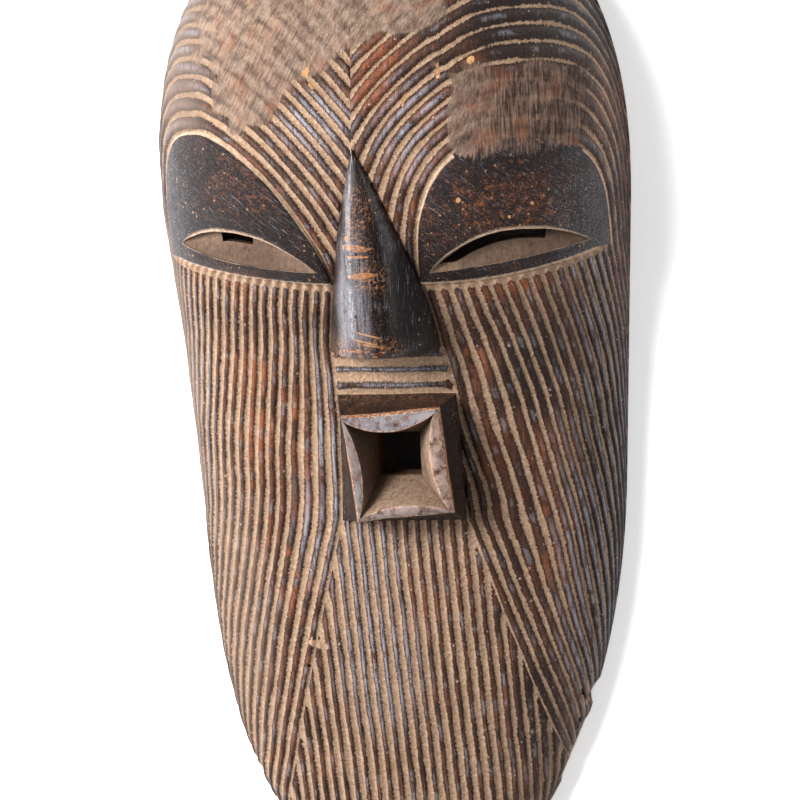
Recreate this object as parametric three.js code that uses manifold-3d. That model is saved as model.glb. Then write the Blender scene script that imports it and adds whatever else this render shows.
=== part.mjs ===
// Carved wooden face mask lying on its back: one block of wood, hollowed behind, ridged all over in front.
// Millimetres. +X is the viewer's right, +Y the top of the head, +Z the way the face looks; the rim lies on z = 0.
import * as THREE from "three";
import Module from "manifold-3d";

// Outline of the rim
const HALF_LENGTH = 280;
const HALF_WIDTH = 120; // at y = 0
const WIDTH_TAPER = 0.047; // extra half width for each millimetre towards the crown
const CROWN_ROUNDING = { start: 100, power: 2.35 };
const CHIN_ROUNDING = { start: -55, power: 2.35 };
const CHIN_LEAN = -9.3; // the carver let the chin drift to one side
const CHIN_LEAN_FROM = -40;
const CHIN_LEAN_TO = -260;

// Height of the face along its middle: [y, z]
const CREST = [
  [-280, 33],
  [-205, 40],
  [-145, 50],
  [-85, 58],
  [-25, 64],
  [35, 76],
  [68, 92],
  [106, 109],
  [141, 114],
  [280, 114],
];
const CROWN_DOME = { start: 150, power: 2 };
const CHIN_DOME = { start: -200, power: 3 };
const ACROSS_POWER = 2.3; // how square the cross section is, seen from its width
const RISE_POWER = 2.8; // and from its height

// Hollow behind the face
const WALL = 12;
const CROWN_WALL = 15; // thicker at the two ends
const HOLLOW_ROWS = 13;
const HOLLOW_COLUMNS = 16;

// Carved lines
const GROOVE_DEPTH = 1.5;
const WORN_DEPTH = 0.35; // where the forehead is scraped almost smooth
const SCRAPED = [
  { x: [-106, -88, -16, 6], y: [150, 168, 300, 320] }, // each side fades between two places
  { x: [48, 54, 108, 118], y: [157, 163, 182, 188] },
];
const LINE_CLEARANCE = 1.3; // a line nearer than this to the rim or a seam has run out
const PHASE_CLEARANCE = 0.12; // the same, as a share of the pitch

// Smooth eye fields: border from the outer low corner over the top to the inner low corner
const FIELDS = {
  left: {
    side: -1,
    outer: [-115.5, 87],
    peak: [-86, 155],
    outerPower: 3.2,
    innerPower: 1.52,
    sag: 2,
    linesAtApex: 7,
    cheekLines: 20,
    cheekPitch: 6.4,
    linesFromMouth: 0,
  },
  right: {
    side: 1,
    outer: [120.3, 87],
    peak: [73, 147.6],
    outerPower: 3.6,
    innerPower: 2.4,
    sag: 4,
    linesAtApex: 6,
    cheekLines: 17,
    cheekPitch: 6.6,
    linesFromMouth: 2,
  },
};
const FIELD_INNER_Y = 73.3;
const FIELD_SWELL = 2.2;
const SIDE_PITCH = 8.7; // lines on the side wall beside the eye field
const CROWN_PITCH = 7.4;
const MEDIAN_PITCH = 10.4; // lines meeting on the middle of the forehead

// Eyes: almond recesses with a sloping floor and a slit under the upper lid
const EYES = {
  left: {
    outer: [-102, 95.5],
    inner: [-25.5, 82],
    arch: 14.5,
    droop: 3,
    slit: [-75, -56.5],
    slitUnder: 0.9,
    slitHeight: 6.5,
  },
  right: {
    outer: [111, 91.5],
    inner: [34, 80.5],
    arch: 15,
    droop: 1.5,
    slit: [44, 92.5],
    slitUnder: 0.9,
    slitHeight: 6,
  },
};
const LID_SWELL = 4.2;
const RECESS_DEPTH = 9;
const LID_ARCH_POWER = 0.75;
const RECESS_POWER = 0.6;
const EYE_SWELL_SCALE = 1.22; // the swelling round the almond, and the foot of its wall, against the lid
const EYE_WELL_SCALE = 0.96;
const EYE_MIDDLE_RISE = 0.35; // the almond's middle, as a share of its arch above the corners
const WELL_STEP = 1; // the lower lid's wall
const EYE_POINTS = 24;
const SLIT_PARTS = 4;

// Nose: a long wedge from the forehead to above the mouth
const NOSE_APEX_Y = 146;
const NOSE_FOOT_Y = 39.5;
const NOSE_AXIS = [0, 4.3]; // x at the apex and at the foot
const NOSE_HALF_WIDTH = 29;
const NOSE_SPREAD_POWER = { left: 1.1, right: 1.7 }; // its left side runs straighter
const NOSE_TOP = 114;
const NOSE_LIFT = 9;
const NOSE_SECTION_POWER = 2.4; // how broad its rounded back is
const NOSE_FLANK_POWER = 1.25; // how steeply the flanks fall from it
const NOSE_SETTLE = 0.75; // how much of the lift is lost again towards the foot
const NOSE_COLUMNS = [-1, -0.93, -0.72, -0.4, 0, 0.4, 0.72, 0.93, 1];

// Inner edge of each cheek below the nose, [y, x], down to the mouth box
const INNER_EDGE = {
  left: [
    [NOSE_FOOT_Y, -24.7],
    [10, -25],
    [-57, -28],
  ],
  right: [
    [NOSE_FOOT_Y, 33.3],
    [28, 36],
    [10, 38.5],
    [-10, 39.5],
    [-57, 39.5],
  ],
};
const SEAM_SLOPE = { left: -0.283, right: 0.306 }; // beside the chin, per millimetre down
const MOUTH_FOOT_Y = -57;
const LIP_TOP_Y = 12.5;

// Three level ridges between nose and mouth: [y, 1 in a groove or 0 on a ridge]
const LIP_ROWS = [
  [38.4, 1],
  [35, 0],
  [31, 1],
  [26.7, 0],
  [22.5, 1],
  [18, 0],
];

const LIP_INSET = 1.6; // the ridges stop this short of the cheeks

// Mouth: a box with leaf-shaped lips round a funnel
const MOUTH_FRONT = [
  [-18.2, 4.4],
  [33.3, 8.7],
  [38.1, -46.1],
  [-12.1, -51.4],
];
const MOUTH_FRONT_Z = 91.5;
const MOUTH_FRONT_TILT = 0.06; // the upper lip stands further out
const MOUTH_HOLE_CENTRE = [6.6, -19.4];
const MOUTH_HOLE_HALF = 11.5;
const MOUTH_HOLE_Z = 66; // the foot of the funnel
const HOLE_OVERCUT = 0.4; // so that the hole's cut passes the foot of the funnel
const LIP_WIDTHS = [8, 6.2, 5, 5.4]; // upper, right, lower and left lip
const LIP_STEPS = 4; // points along each side of the box
const LIP_BEVEL = 2.5;
const LIP_CORNER_SHRINK = 0.05; // the corners of the lips' inner edge, drawn in towards the hole
const LIP_LEAF_POWER = 0.8;

// Chin lines
const CHIN_PITCH = 6.3;
const CHIN_SKEW = 0.033;
const CHIN_LINE_AT = 3.4;

// Rows of the carving, in millimetres of y
const CHEEK_ROWS = [55.5, NOSE_FOOT_Y, LIP_TOP_Y, -10, -33, MOUTH_FOOT_Y];
const CHIN_ROWS = [-76, -95, -114, -133, -152, -170, -187, -203, -217, -230, -242, -253, -262, -270, -276, -279.2];
const ROWS_LEVEL_Y = -20; // above this the cheek rows tilt with the foot of the eye field
const RIM_ROWS = 19; // from the crown down to the eye field
const RIM_STEPS = 300; // points at which that stretch of rim is measured

// Breaks in the edge: [x, y, length along the edge, height, depth]
const CHIPS = [
  [-86, -205, 13, 26, 4.5],
  [-76, -228, 11, 20, 4],
  [-98, -176, 6, 12, 2.5],
  [95, -164, 9, 16, 4],
  [88, -198, 36, 60, 2.8],
];

const WOOD_COLOUR = 0x6a5345; // dark ridges and pale lines seen together

const clamp = (v, a, b) => Math.min(b, Math.max(a, v));
const mix = (a, b, t) => a + (b - a) * t;
const ease = (a, b, v) => {
  const t = clamp((v - a) / (b - a), 0, 1);
  return t * t * (3 - 2 * t);
};

// 1 between the two middle places of four, fading to 0 at the outer ones.
const within = ([a, b, c, d], v) => ease(a, b, v) * (1 - ease(c, d, v));

// How a size shrinks between `start` and `end`, rounding off to nothing at the end.
function roundOff(y, start, end, power) {
  const t = clamp((y - start) / (end - start), 0, 1);
  return (1 - t ** power) ** (1 / power);
}

// Smooth curve through a few [at, value] pairs in rising order of `at`.
function curve(points, at) {
  const n = points.length;
  if (at <= points[0][0]) return points[0][1];
  if (at >= points[n - 1][0]) return points[n - 1][1];
  let i = 0;
  while (at > points[i + 1][0]) i++;
  const slope = (k) =>
    (points[k + 1][1] - points[k][1]) / (points[k + 1][0] - points[k][0]);
  const tangent = (k) => {
    if (k === 0) return slope(0);
    if (k === n - 1) return slope(n - 2);
    const [p, q] = [slope(k - 1), slope(k)];
    return p * q <= 0 ? 0 : (2 * p * q) / (p + q);
  };
  const h = points[i + 1][0] - points[i][0];
  const t = (at - points[i][0]) / h;
  return (
    points[i][1] * (1 + 2 * t) * (1 - t) ** 2 +
    points[i + 1][1] * t * t * (3 - 2 * t) +
    h * tangent(i) * t * (1 - t) ** 2 -
    h * tangent(i + 1) * t * t * (1 - t)
  );
}

function halfWidth(y) {
  return (
    (HALF_WIDTH + WIDTH_TAPER * y) *
    roundOff(y, CROWN_ROUNDING.start, HALF_LENGTH, CROWN_ROUNDING.power) *
    roundOff(y, CHIN_ROUNDING.start, -HALF_LENGTH, CHIN_ROUNDING.power)
  );
}
const middle = (y) => CHIN_LEAN * ease(CHIN_LEAN_FROM, CHIN_LEAN_TO, y);
function crest(y) {
  return (
    curve(CREST, y) *
    roundOff(y, CROWN_DOME.start, HALF_LENGTH, CROWN_DOME.power) *
    roundOff(y, CHIN_DOME.start, -HALF_LENGTH, CHIN_DOME.power)
  );
}

// Half a cross section, unrolled: samples close up towards the rim, where the wall is steep.
const SECTION_STEPS = 56;
const SECTION_SAMPLES = Array.from({ length: SECTION_STEPS + 1 }, (_, i) => {
  const q = 1 - (1 - i / SECTION_STEPS) ** RISE_POWER;
  return [q, i === SECTION_STEPS ? 0 : (1 - q ** ACROSS_POWER) ** (1 / RISE_POWER)];
});
function sectionArc(width, height) {
  const arc = [0];
  for (let i = 1; i < SECTION_SAMPLES.length; i++) {
    const dx = width * (SECTION_SAMPLES[i][0] - SECTION_SAMPLES[i - 1][0]);
    const dz = height * (SECTION_SAMPLES[i][1] - SECTION_SAMPLES[i - 1][1]);
    arc.push(arc[i - 1] + Math.hypot(dx, dz));
  }
  return arc;
}
// Value at `at` in the list `to`, whose places are the rising list `from`.
function lookUp(from, to, at) {
  if (at <= from[0]) return to[0];
  const last = from.length - 1;
  if (at >= from[last]) return to[last];
  let [a, b] = [0, last];
  while (b - a > 1) {
    const m = (a + b) >> 1;
    if (from[m] > at) b = m;
    else a = m;
  }
  return mix(to[a], to[b], (at - from[a]) / (from[b] - from[a]));
}
const SAMPLE_Q = SECTION_SAMPLES.map((p) => p[0]);

// Length along the middle of the face, for unrolling it lengthwise.
const LENGTH_Y = [];
const LENGTH_W = [];
const LENGTH_STEPS = 400;
for (let i = 0; i <= LENGTH_STEPS; i++) {
  const y = HALF_LENGTH * Math.sin(((i / LENGTH_STEPS) * 2 - 1) * (Math.PI / 2));
  LENGTH_Y.push(y);
  LENGTH_W.push(
    i ? LENGTH_W[i - 1] + Math.hypot(y - LENGTH_Y[i - 1], crest(y) - crest(LENGTH_Y[i - 1])) : 0,
  );
}
const lengthAt = (y) => lookUp(LENGTH_Y, LENGTH_W, y);
const yAt = (w) => lookUp(LENGTH_W, LENGTH_Y, w);
const reach = (y) => {
  const arc = sectionArc(halfWidth(y), crest(y));
  return arc[arc.length - 1];
};

// Unrolled place (s across, w along) of a point of the face, and the way back.
function unroll(x, y) {
  const q = clamp(Math.abs(x - middle(y)) / halfWidth(y), 0, 1);
  const s = lookUp(SAMPLE_Q, sectionArc(halfWidth(y), crest(y)), q);
  return [Math.sign(x - middle(y)) * s, lengthAt(y)];
}
function roll(s, w) {
  const y = yAt(w);
  const [a, d] = [halfWidth(y), crest(y)];
  if (a < 1e-6) return new THREE.Vector3(middle(y), y, 0);
  const q = lookUp(sectionArc(a, d), SAMPLE_Q, Math.abs(s));
  const z = q >= 1 ? 0 : d * (1 - q ** ACROSS_POWER) ** (1 / RISE_POWER);
  return new THREE.Vector3(middle(y) + Math.sign(s) * q * a, y, z);
}
const rimPoint = (side, y) => new THREE.Vector3(middle(y) + side * halfWidth(y), y, 0);

// Direction out of the face at a point of it.
function outward(p) {
  const level = (x, y, z) => {
    const q = Math.abs(x - middle(y)) / Math.max(halfWidth(y), 1e-3);
    return q ** ACROSS_POWER + (Math.max(z, 0) / Math.max(crest(y), 1e-3)) ** RISE_POWER;
  };
  const h = 0.5;
  const y = clamp(p.y, -HALF_LENGTH + 2, HALF_LENGTH - 2);
  const n = new THREE.Vector3(
    level(p.x + h, y, p.z) - level(p.x - h, y, p.z),
    level(p.x, y + h, p.z) - level(p.x, y - h, p.z),
    level(p.x, y, p.z + h) - level(p.x, y, p.z - h),
  );
  return n.lengthSq() > 0 ? n.normalize() : new THREE.Vector3(0, 0, 1);
}
const faceHeight = (x, y) => {
  const q = clamp(Math.abs(x - middle(y)) / halfWidth(y), 0, 1);
  return crest(y) * (1 - q ** ACROSS_POWER) ** (1 / RISE_POWER);
};
const onFace = (x, y) => new THREE.Vector3(x, y, faceHeight(x, y));

// Groove depth at a carving phase: whole numbers are groove centres, halves are ridge tops.
function cut(phase, p) {
  const scraped = Math.max(...SCRAPED.map(({ x, y }) => within(x, p.x) * within(y, p.y)));
  const wave = 0.5 + 0.5 * Math.cos(2 * Math.PI * phase);
  return mix(GROOVE_DEPTH, WORN_DEPTH, scraped) * wave;
}
const carve = (p, phase) => p.clone().addScaledVector(outward(p), -cut(phase, p));

// The skin is gathered here and closed at the end.
const vertices = [];
const triangles = [];
const put = (p) => vertices.push(p.x, p.y, p.z) / 3 - 1;
const at = (id) => new THREE.Vector3(vertices[3 * id], vertices[3 * id + 1], vertices[3 * id + 2]);
function tri(a, b, c) {
  if (a !== b && b !== c && a !== c) triangles.push(a, b, c);
}
function quad(a, b, c, d) {
  tri(a, b, c);
  tri(a, c, d);
}
// Fills between two rows of ids, `flip` turning the faces over.
function strip(row, next, flip) {
  for (let j = 0; j + 1 < row.length; j++) {
    if (flip) quad(row[j], row[j + 1], next[j + 1], next[j]);
    else quad(row[j], next[j], next[j + 1], row[j + 1]);
  }
}
// Fills between two rows with different counts, each with its rising places along the row.
function zip(row, rowAt, next, nextAt, flip) {
  let [i, j] = [0, 0];
  while (i + 1 < row.length || j + 1 < next.length) {
    const stepRow =
      j + 1 >= next.length || (i + 1 < row.length && rowAt[i + 1] <= nextAt[j + 1]);
    const third = stepRow ? row[i + 1] : next[j + 1];
    if (flip) tri(row[i], third, next[j]);
    else tri(row[i], next[j], third);
    if (stepRow) i++;
    else j++;
  }
}

// Nose base edge on either side, at a height up the face.
function noseEdge(side, y) {
  const t = clamp((NOSE_APEX_Y - y) / (NOSE_APEX_Y - NOSE_FOOT_Y), 0, 1);
  const power = side < 0 ? NOSE_SPREAD_POWER.left : NOSE_SPREAD_POWER.right;
  return mix(NOSE_AXIS[0], NOSE_AXIS[1], t) + side * NOSE_HALF_WIDTH * (1 - (1 - t) ** power);
}
// Inner edge of a cheek: nose, then lip and mouth, then the seam beside the chin, stopping at the rim.
function innerEdge(name, y) {
  const side = FIELDS[name].side;
  if (y >= NOSE_FOOT_Y) return noseEdge(side, y);
  if (y >= MOUTH_FOOT_Y) return curve([...INNER_EDGE[name]].reverse(), y);
  return INNER_EDGE[name].at(-1)[1] + SEAM_SLOPE[name] * (MOUTH_FOOT_Y - y);
}

// Border of an eye field from its outer low corner (0) over the top to the inner low corner (1).
function fieldBorder(field, t) {
  const [ox, oy] = field.outer;
  const [px, py] = field.peak;
  const [ix, iy] = [noseEdge(field.side, FIELD_INNER_Y), FIELD_INNER_Y];
  const turn = Math.PI * t;
  if (t < 0.5) {
    const e = 2 / field.outerPower;
    return [px + (ox - px) * Math.cos(turn) ** e, oy + (py - oy) * Math.sin(turn) ** e];
  }
  const e = 2 / field.innerPower;
  return [px + (ix - px) * (-Math.cos(turn)) ** e, iy + (py - iy) * Math.sin(turn) ** e];
}
// Its lower border from the inner corner (0) to the outer corner (1).
function fieldFoot(field, t) {
  const x = mix(noseEdge(field.side, FIELD_INNER_Y), field.outer[0], t);
  return [x, mix(FIELD_INNER_Y, field.outer[1], t) - field.sag * 4 * t * (1 - t)];
}

// Rows on the forehead end on the nose, the median and the rim, in that order.
const flankLevels = [];
for (let k = 0; k <= FIELDS.left.linesAtApex; k++)
  flankLevels.push(mix(FIELD_INNER_Y, NOSE_APEX_Y, k / FIELDS.left.linesAtApex));
const medianLength = lengthAt(HALF_LENGTH) - lengthAt(NOSE_APEX_Y);
const MEDIAN_ROWS = Math.round(medianLength / MEDIAN_PITCH);
const medianLevels = [];
for (let k = 1; k < MEDIAN_ROWS; k++)
  medianLevels.push(yAt(lengthAt(NOSE_APEX_Y) + (medianLength * k) / MEDIAN_ROWS));
// Levels of the rim rows, spread by rim length from the crown to the low corner of the eye field.
const rimLevels = (() => {
  const [ys, run] = [[HALF_LENGTH], [0]];
  for (let i = 1; i <= RIM_STEPS; i++) {
    const turn = (i / RIM_STEPS) * (Math.PI / 2);
    const y = mix(FIELDS.left.outer[1], HALF_LENGTH, Math.cos(turn));
    run.push(run[i - 1] + Math.hypot(halfWidth(y) - halfWidth(ys[i - 1]), y - ys[i - 1]));
    ys.push(y);
  }
  return Array.from({ length: RIM_ROWS }, (_, k) =>
    lookUp(run, ys, (run.at(-1) * (k + 1)) / RIM_ROWS),
  );
})();

// Vertices on the middle of the forehead serve both halves.
const flank = {};
const median = medianLevels.map((y) => put(carve(roll(0, lengthAt(y)), 0)));
const crownTip = put(new THREE.Vector3(middle(HALF_LENGTH), HALF_LENGTH, 0));
const noseApex = put(carve(onFace(NOSE_AXIS[0], NOSE_APEX_Y), 0.5));
for (const name of ["left", "right"]) {
  const side = FIELDS[name].side;
  flank[name] = flankLevels.map((y, k) =>
    k === flankLevels.length - 1 ? noseApex : put(carve(onFace(noseEdge(side, y), y), 0)),
  );
}

const ROW_STEPS = 32; // points at which a row's length is measured
// Row from the eye field's border out to an end point, with `count` lines along it.
function foreheadRow(field, footId, foot, end, endId, count, most) {
  const from = unroll(foot[0], foot[1]);
  const [points, run] = [[], [0]];
  for (let i = 0; i <= ROW_STEPS; i++) {
    points.push(roll(mix(from[0], end[0], i / ROW_STEPS), mix(from[1], end[1], i / ROW_STEPS)));
    if (i) run.push(run[i - 1] + points[i].distanceTo(points[i - 1]));
  }
  const places = run.map((_, i) => i / ROW_STEPS);
  const ids = [footId];
  for (let j = 1; j <= most * 2; j++) {
    const phase = j / 2;
    if (phase >= count - PHASE_CLEARANCE) {
      ids.push(endId);
      continue;
    }
    const t = lookUp(run, places, (run[ROW_STEPS] * phase) / count);
    const p = roll(mix(from[0], end[0], t), mix(from[1], end[1], t));
    ids.push(put(carve(p, phase)));
  }
  return ids;
}

const BORDER_STEPS = 400; // points along an eye field's border among which each row finds its foot
const FOOT_STEPS = 200;
const rim = { left: [], right: [] };
const halves = {};
for (const name of ["left", "right"]) {
  const field = FIELDS[name];
  const side = field.side;
  const border = [];
  for (let i = 0; i <= BORDER_STEPS; i++) {
    const [x, y] = fieldBorder(field, i / BORDER_STEPS);
    border.push(unroll(x, y));
  }
  const ends = [];
  flankLevels.forEach((y, k) =>
    ends.push({
      place: unroll(noseEdge(side, y), y),
      id: flank[name][k],
      count: (field.linesAtApex * k) / (flankLevels.length - 1),
    }),
  );
  medianLevels.forEach((y, k) =>
    ends.push({ place: [0, lengthAt(y)], id: median[k], count: field.linesAtApex + k + 1 }),
  );
  const crownCount = field.linesAtApex + MEDIAN_ROWS;
  ends.push({ place: [0, lengthAt(HALF_LENGTH)], id: crownTip, count: crownCount });
  rimLevels.forEach((y) => {
    const id = put(rimPoint(side, y));
    ends.push({ place: [side * reach(y), lengthAt(y)], id, count: null });
    rim[name].push(id);
  });
  // The foot of each row is the nearest point of the border, never going back along it.
  let last = BORDER_STEPS;
  ends.forEach((end, i) => {
    let [best, bestAt] = [Infinity, last];
    for (let k = last; k >= 0; k--) {
      const d = Math.hypot(border[k][0] - end.place[0], border[k][1] - end.place[1]);
      if (d < best) [best, bestAt] = [d, k];
    }
    if (i === 0) bestAt = BORDER_STEPS;
    if (i === ends.length - 1) bestAt = 0;
    else if (i > 0) bestAt = clamp(bestAt, 1, last - 1);
    last = bestAt;
    end.foot = bestAt / BORDER_STEPS;
    if (end.count === null) {
      const down = (i - (ends.length - RIM_ROWS - 1)) / RIM_ROWS;
      end.count = best / mix(CROWN_PITCH, SIDE_PITCH, down ** 0.5);
    }
  });
  const most = Math.ceil(crownCount);
  const cornerFoot = put(carve(onFace(...fieldBorder(field, 0)), 0));
  const rows = ends.map((end, i) => {
    if (i === 0) return Array(most * 2 + 1).fill(end.id);
    const foot = fieldBorder(field, end.foot);
    const footId = i === ends.length - 1 ? cornerFoot : put(carve(onFace(...foot), 0));
    return foreheadRow(field, footId, foot, end.place, end.id, end.count, most);
  });
  for (let i = 0; i + 1 < rows.length; i++) strip(rows[i], rows[i + 1], side < 0);

  // Below: cheek lines run down from the field's lower border, side-wall lines from the last row.
  const columns = field.cheekLines * 2;
  const bottom = rows.at(-1);
  const sideLines = Math.ceil(ends.at(-1).count);
  const [footRun, footT] = [[0], [0]];
  for (let i = 1; i <= FOOT_STEPS; i++) {
    const [a, b] = [fieldFoot(field, (i - 1) / FOOT_STEPS), fieldFoot(field, i / FOOT_STEPS)];
    footRun.push(footRun[i - 1] + Math.abs(unroll(...b)[0] - unroll(...a)[0]));
    footT.push(i / FOOT_STEPS);
  }
  const topPitch = footRun.at(-1) / field.cheekLines;
  const foot = [flank[name][0]];
  const footPlaces = [unroll(noseEdge(side, FIELD_INNER_Y), FIELD_INNER_Y)];
  for (let j = 1; j <= columns; j++) {
    const [x, y] = fieldFoot(field, lookUp(footRun, footT, (topPitch * j) / 2));
    footPlaces.push(unroll(x, y));
    foot.push(j === columns ? cornerFoot : put(carve(onFace(x, y), 0)));
  }
  // A few more lines set out from the side of the mouth, so each row begins with spare places.
  const spare = Math.ceil(field.linesFromMouth) * 2;
  const top = [...Array(spare).fill(foot[0]), ...foot];
  const topPlaces = [...Array(spare).fill(footPlaces[0]), ...footPlaces];
  for (let j = 1; j <= sideLines * 2; j++) {
    top.push(bottom[Math.min(j, bottom.length - 1)]);
    topPlaces.push([0, footPlaces[columns][1]]);
  }
  const sheet = [top];
  const inner = [];
  const levels = [...CHEEK_ROWS, ...CHIN_ROWS];
  for (const level of levels) {
    const tilt = ease(ROWS_LEVEL_Y, FIELD_INNER_Y, level);
    const x = innerEdge(name, level);
    const rimX = Math.abs(middle(level) + side * halfWidth(level));
    const ended = side * x >= rimX - 0.5;
    const [s0, w0] = unroll(side * Math.min(side * x, rimX), level);
    const pitch = mix(topPitch, field.cheekPitch, ease(FIELD_INNER_Y, ROWS_LEVEL_Y, level));
    const sidePitch = mix(SIDE_PITCH, pitch, ease(FIELD_INNER_Y, 0, level));
    const begun = field.linesFromMouth * ease(LIP_TOP_Y, MOUTH_FOOT_Y, level);
    const rimW = w0 + tilt * (topPlaces.at(-1)[1] - topPlaces[0][1]);
    const rimId = put(rimPoint(side, yAt(rimW)));
    rim[name].push(rimId);
    const first = ended ? rimId : put(carve(onFace(x, level), 0));
    inner.push(first);
    const row = [first];
    for (let j = 1; j < top.length; j++) {
      const phase = (j - spare) / 2;
      const w = w0 + tilt * (topPlaces[j][1] - topPlaces[0][1]);
      const onCheek = Math.min(phase, field.cheekLines) + begun;
      const step = onCheek * pitch + Math.max(phase - field.cheekLines, 0) * sidePitch;
      const s = Math.abs(s0) + step;
      if (ended || s > reach(yAt(w)) - LINE_CLEARANCE) row.push(rimId);
      else if (onCheek < PHASE_CLEARANCE) row.push(first);
      else row.push(put(carve(roll(side * s, w), phase)));
    }
    sheet.push(row);
  }
  for (let i = 0; i + 1 < sheet.length; i++) strip(sheet[i], sheet[i + 1], side < 0);
  halves[name] = { rows, foot, inner };
}

// Chin: upright lines between the two seams.
const chinTip = put(new THREE.Vector3(middle(-HALF_LENGTH), -HALF_LENGTH, 0));
const CHIN_COLUMNS = 60;
function chinRow(level, leftId, rightId) {
  const left = at(leftId);
  const right = at(rightId);
  const w = lengthAt(level);
  const [sLeft, sRight] = [unroll(left.x, level)[0], unroll(right.x, level)[0]];
  const start = CHIN_LINE_AT + CHIN_SKEW * (MOUTH_FOOT_Y - level) - middle(level);
  const ids = [leftId];
  for (let j = -CHIN_COLUMNS / 2; j <= CHIN_COLUMNS / 2; j++) {
    const s = start + (j * CHIN_PITCH) / 2;
    if (s < sLeft + LINE_CLEARANCE) ids.push(leftId);
    else if (s > sRight - LINE_CLEARANCE) ids.push(rightId);
    else ids.push(put(carve(roll(s, w), j / 2)));
  }
  ids.push(rightId);
  return ids;
}
const chinLevels = [MOUTH_FOOT_Y, ...CHIN_ROWS];
const chin = chinLevels.map((level, i) => {
  const k = CHEEK_ROWS.length - 1 + i;
  return chinRow(level, halves.left.inner[k], halves.right.inner[k]);
});
for (let i = 0; i + 1 < chin.length; i++) strip(chin[i], chin[i + 1], false);
strip(chin.at(-1), Array(chin.at(-1).length).fill(chinTip), false);

// Nose
function noseRow(level, leftId, rightId) {
  const t = clamp((NOSE_APEX_Y - level) / (NOSE_APEX_Y - NOSE_FOOT_Y), 0, 1);
  const [x0, x1] = [noseEdge(-1, level), noseEdge(1, level)];
  const rise = NOSE_TOP - crest(level) + NOSE_LIFT * Math.sqrt(t) * (1 - NOSE_SETTLE * t);
  return NOSE_COLUMNS.map((u, j) => {
    if (j === 0) return leftId;
    if (j === NOSE_COLUMNS.length - 1) return rightId;
    const p = onFace(mix(x0, x1, (u + 1) / 2), level);
    p.z += rise * (1 - Math.abs(u) ** NOSE_SECTION_POWER) ** (1 / NOSE_FLANK_POWER);
    return put(p);
  });
}
const noseRows = [Array(NOSE_COLUMNS.length).fill(noseApex)];
for (let k = flankLevels.length - 2; k >= 0; k--)
  noseRows.push(noseRow(flankLevels[k], flank.left[k], flank.right[k]));
for (let k = 0; k < 2; k++)
  noseRows.push(noseRow(CHEEK_ROWS[k], halves.left.inner[k], halves.right.inner[k]));
for (let i = 0; i + 1 < noseRows.length; i++) strip(noseRows[i], noseRows[i + 1], false);

// Lip zone: its rows run level between the cheeks
const lipRows = LIP_ROWS.map(([level, groove]) =>
  NOSE_COLUMNS.map((u) => {
    const [x0, x1] = [innerEdge("left", level) + LIP_INSET, innerEdge("right", level) - LIP_INSET];
    return put(carve(onFace(mix(x0, x1, (u + 1) / 2), level), groove ? 0 : 0.5));
  }),
);
const noseFoot = noseRows.at(-1);
strip(noseFoot, [noseFoot[0], ...lipRows[0].slice(1, -1), noseFoot.at(-1)], false);
const mouthTop = NOSE_COLUMNS.map((u, j) => {
  if (j === 0) return halves.left.inner[2];
  if (j === NOSE_COLUMNS.length - 1) return halves.right.inner[2];
  const [x0, x1] = [innerEdge("left", LIP_TOP_Y), innerEdge("right", LIP_TOP_Y)];
  return put(carve(onFace(mix(x0, x1, (u + 1) / 2), LIP_TOP_Y), 0));
});
for (let i = 0; i + 1 < lipRows.length; i++) strip(lipRows[i], lipRows[i + 1], false);
// corner pieces under the nose, then the strips beside the rows, then the row above the mouth
tri(noseFoot[0], lipRows[0][0], lipRows[0][1]);
tri(noseFoot.at(-1), lipRows[0].at(-2), lipRows[0].at(-1));
const lipLevels = LIP_ROWS.map(([level]) => -level);
const sideLevels = [-NOSE_FOOT_Y, -LIP_TOP_Y];
zip([noseFoot[0], mouthTop[0]], sideLevels, lipRows.map((r) => r[0]), lipLevels, true);
zip(lipRows.map((r) => r.at(-1)), lipLevels, [noseFoot.at(-1), mouthTop.at(-1)], sideLevels, true);
strip(lipRows.at(-1), mouthTop, false);

// Mouth box: its foot loop, outer front edge, inner lip edge and funnel
const mouthLoop = [];
const mouthLoopAt = [];
const addSide = (ids, sideIndex) => {
  for (let i = 0; i + 1 < ids.length; i++) {
    mouthLoop.push(ids[i]);
    mouthLoopAt.push(sideIndex + i / (ids.length - 1));
  }
};
const distinct = (ids) => ids.filter((id, i) => i === 0 || id !== ids[i - 1]);
addSide(mouthTop, 0);
addSide(halves.right.inner.slice(2, CHEEK_ROWS.length), 1);
addSide(distinct(chin[0]).reverse(), 2);
addSide(halves.left.inner.slice(2, CHEEK_ROWS.length).reverse(), 3);
mouthLoop.push(mouthLoop[0]);
mouthLoopAt.push(4);
const frontZ = (y) => MOUTH_FRONT_Z + MOUTH_FRONT_TILT * (y - MOUTH_HOLE_CENTRE[1]);
// Loop of points round the box, each side bowed inwards by its own number in `insets`, at height z(x, y).
function mouthRing(corners, insets, height) {
  const ids = [];
  for (let k = 0; k < 4; k++) {
    const [a, b] = [corners[k], corners[(k + 1) % 4]];
    const [dx, dy] = [b[0] - a[0], b[1] - a[1]];
    const size = Math.hypot(dx, dy);
    for (let i = 0; i < LIP_STEPS; i++) {
      const t = i / LIP_STEPS;
      const bow = insets[k] * Math.sin(Math.PI * t) ** LIP_LEAF_POWER;
      const [x, y] = [mix(a[0], b[0], t) + (bow * dy) / size, mix(a[1], b[1], t) - (bow * dx) / size];
      ids.push(put(new THREE.Vector3(x, y, height(x, y))));
    }
  }
  return [...ids, ids[0]];
}
const ringAt = Array.from({ length: 4 * LIP_STEPS + 1 }, (_, i) => i / LIP_STEPS);
const shrink = (corners, by) =>
  corners.map(([x, y]) => [
    mix(x, MOUTH_HOLE_CENTRE[0], by),
    mix(y, MOUTH_HOLE_CENTRE[1], by),
  ]);
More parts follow.
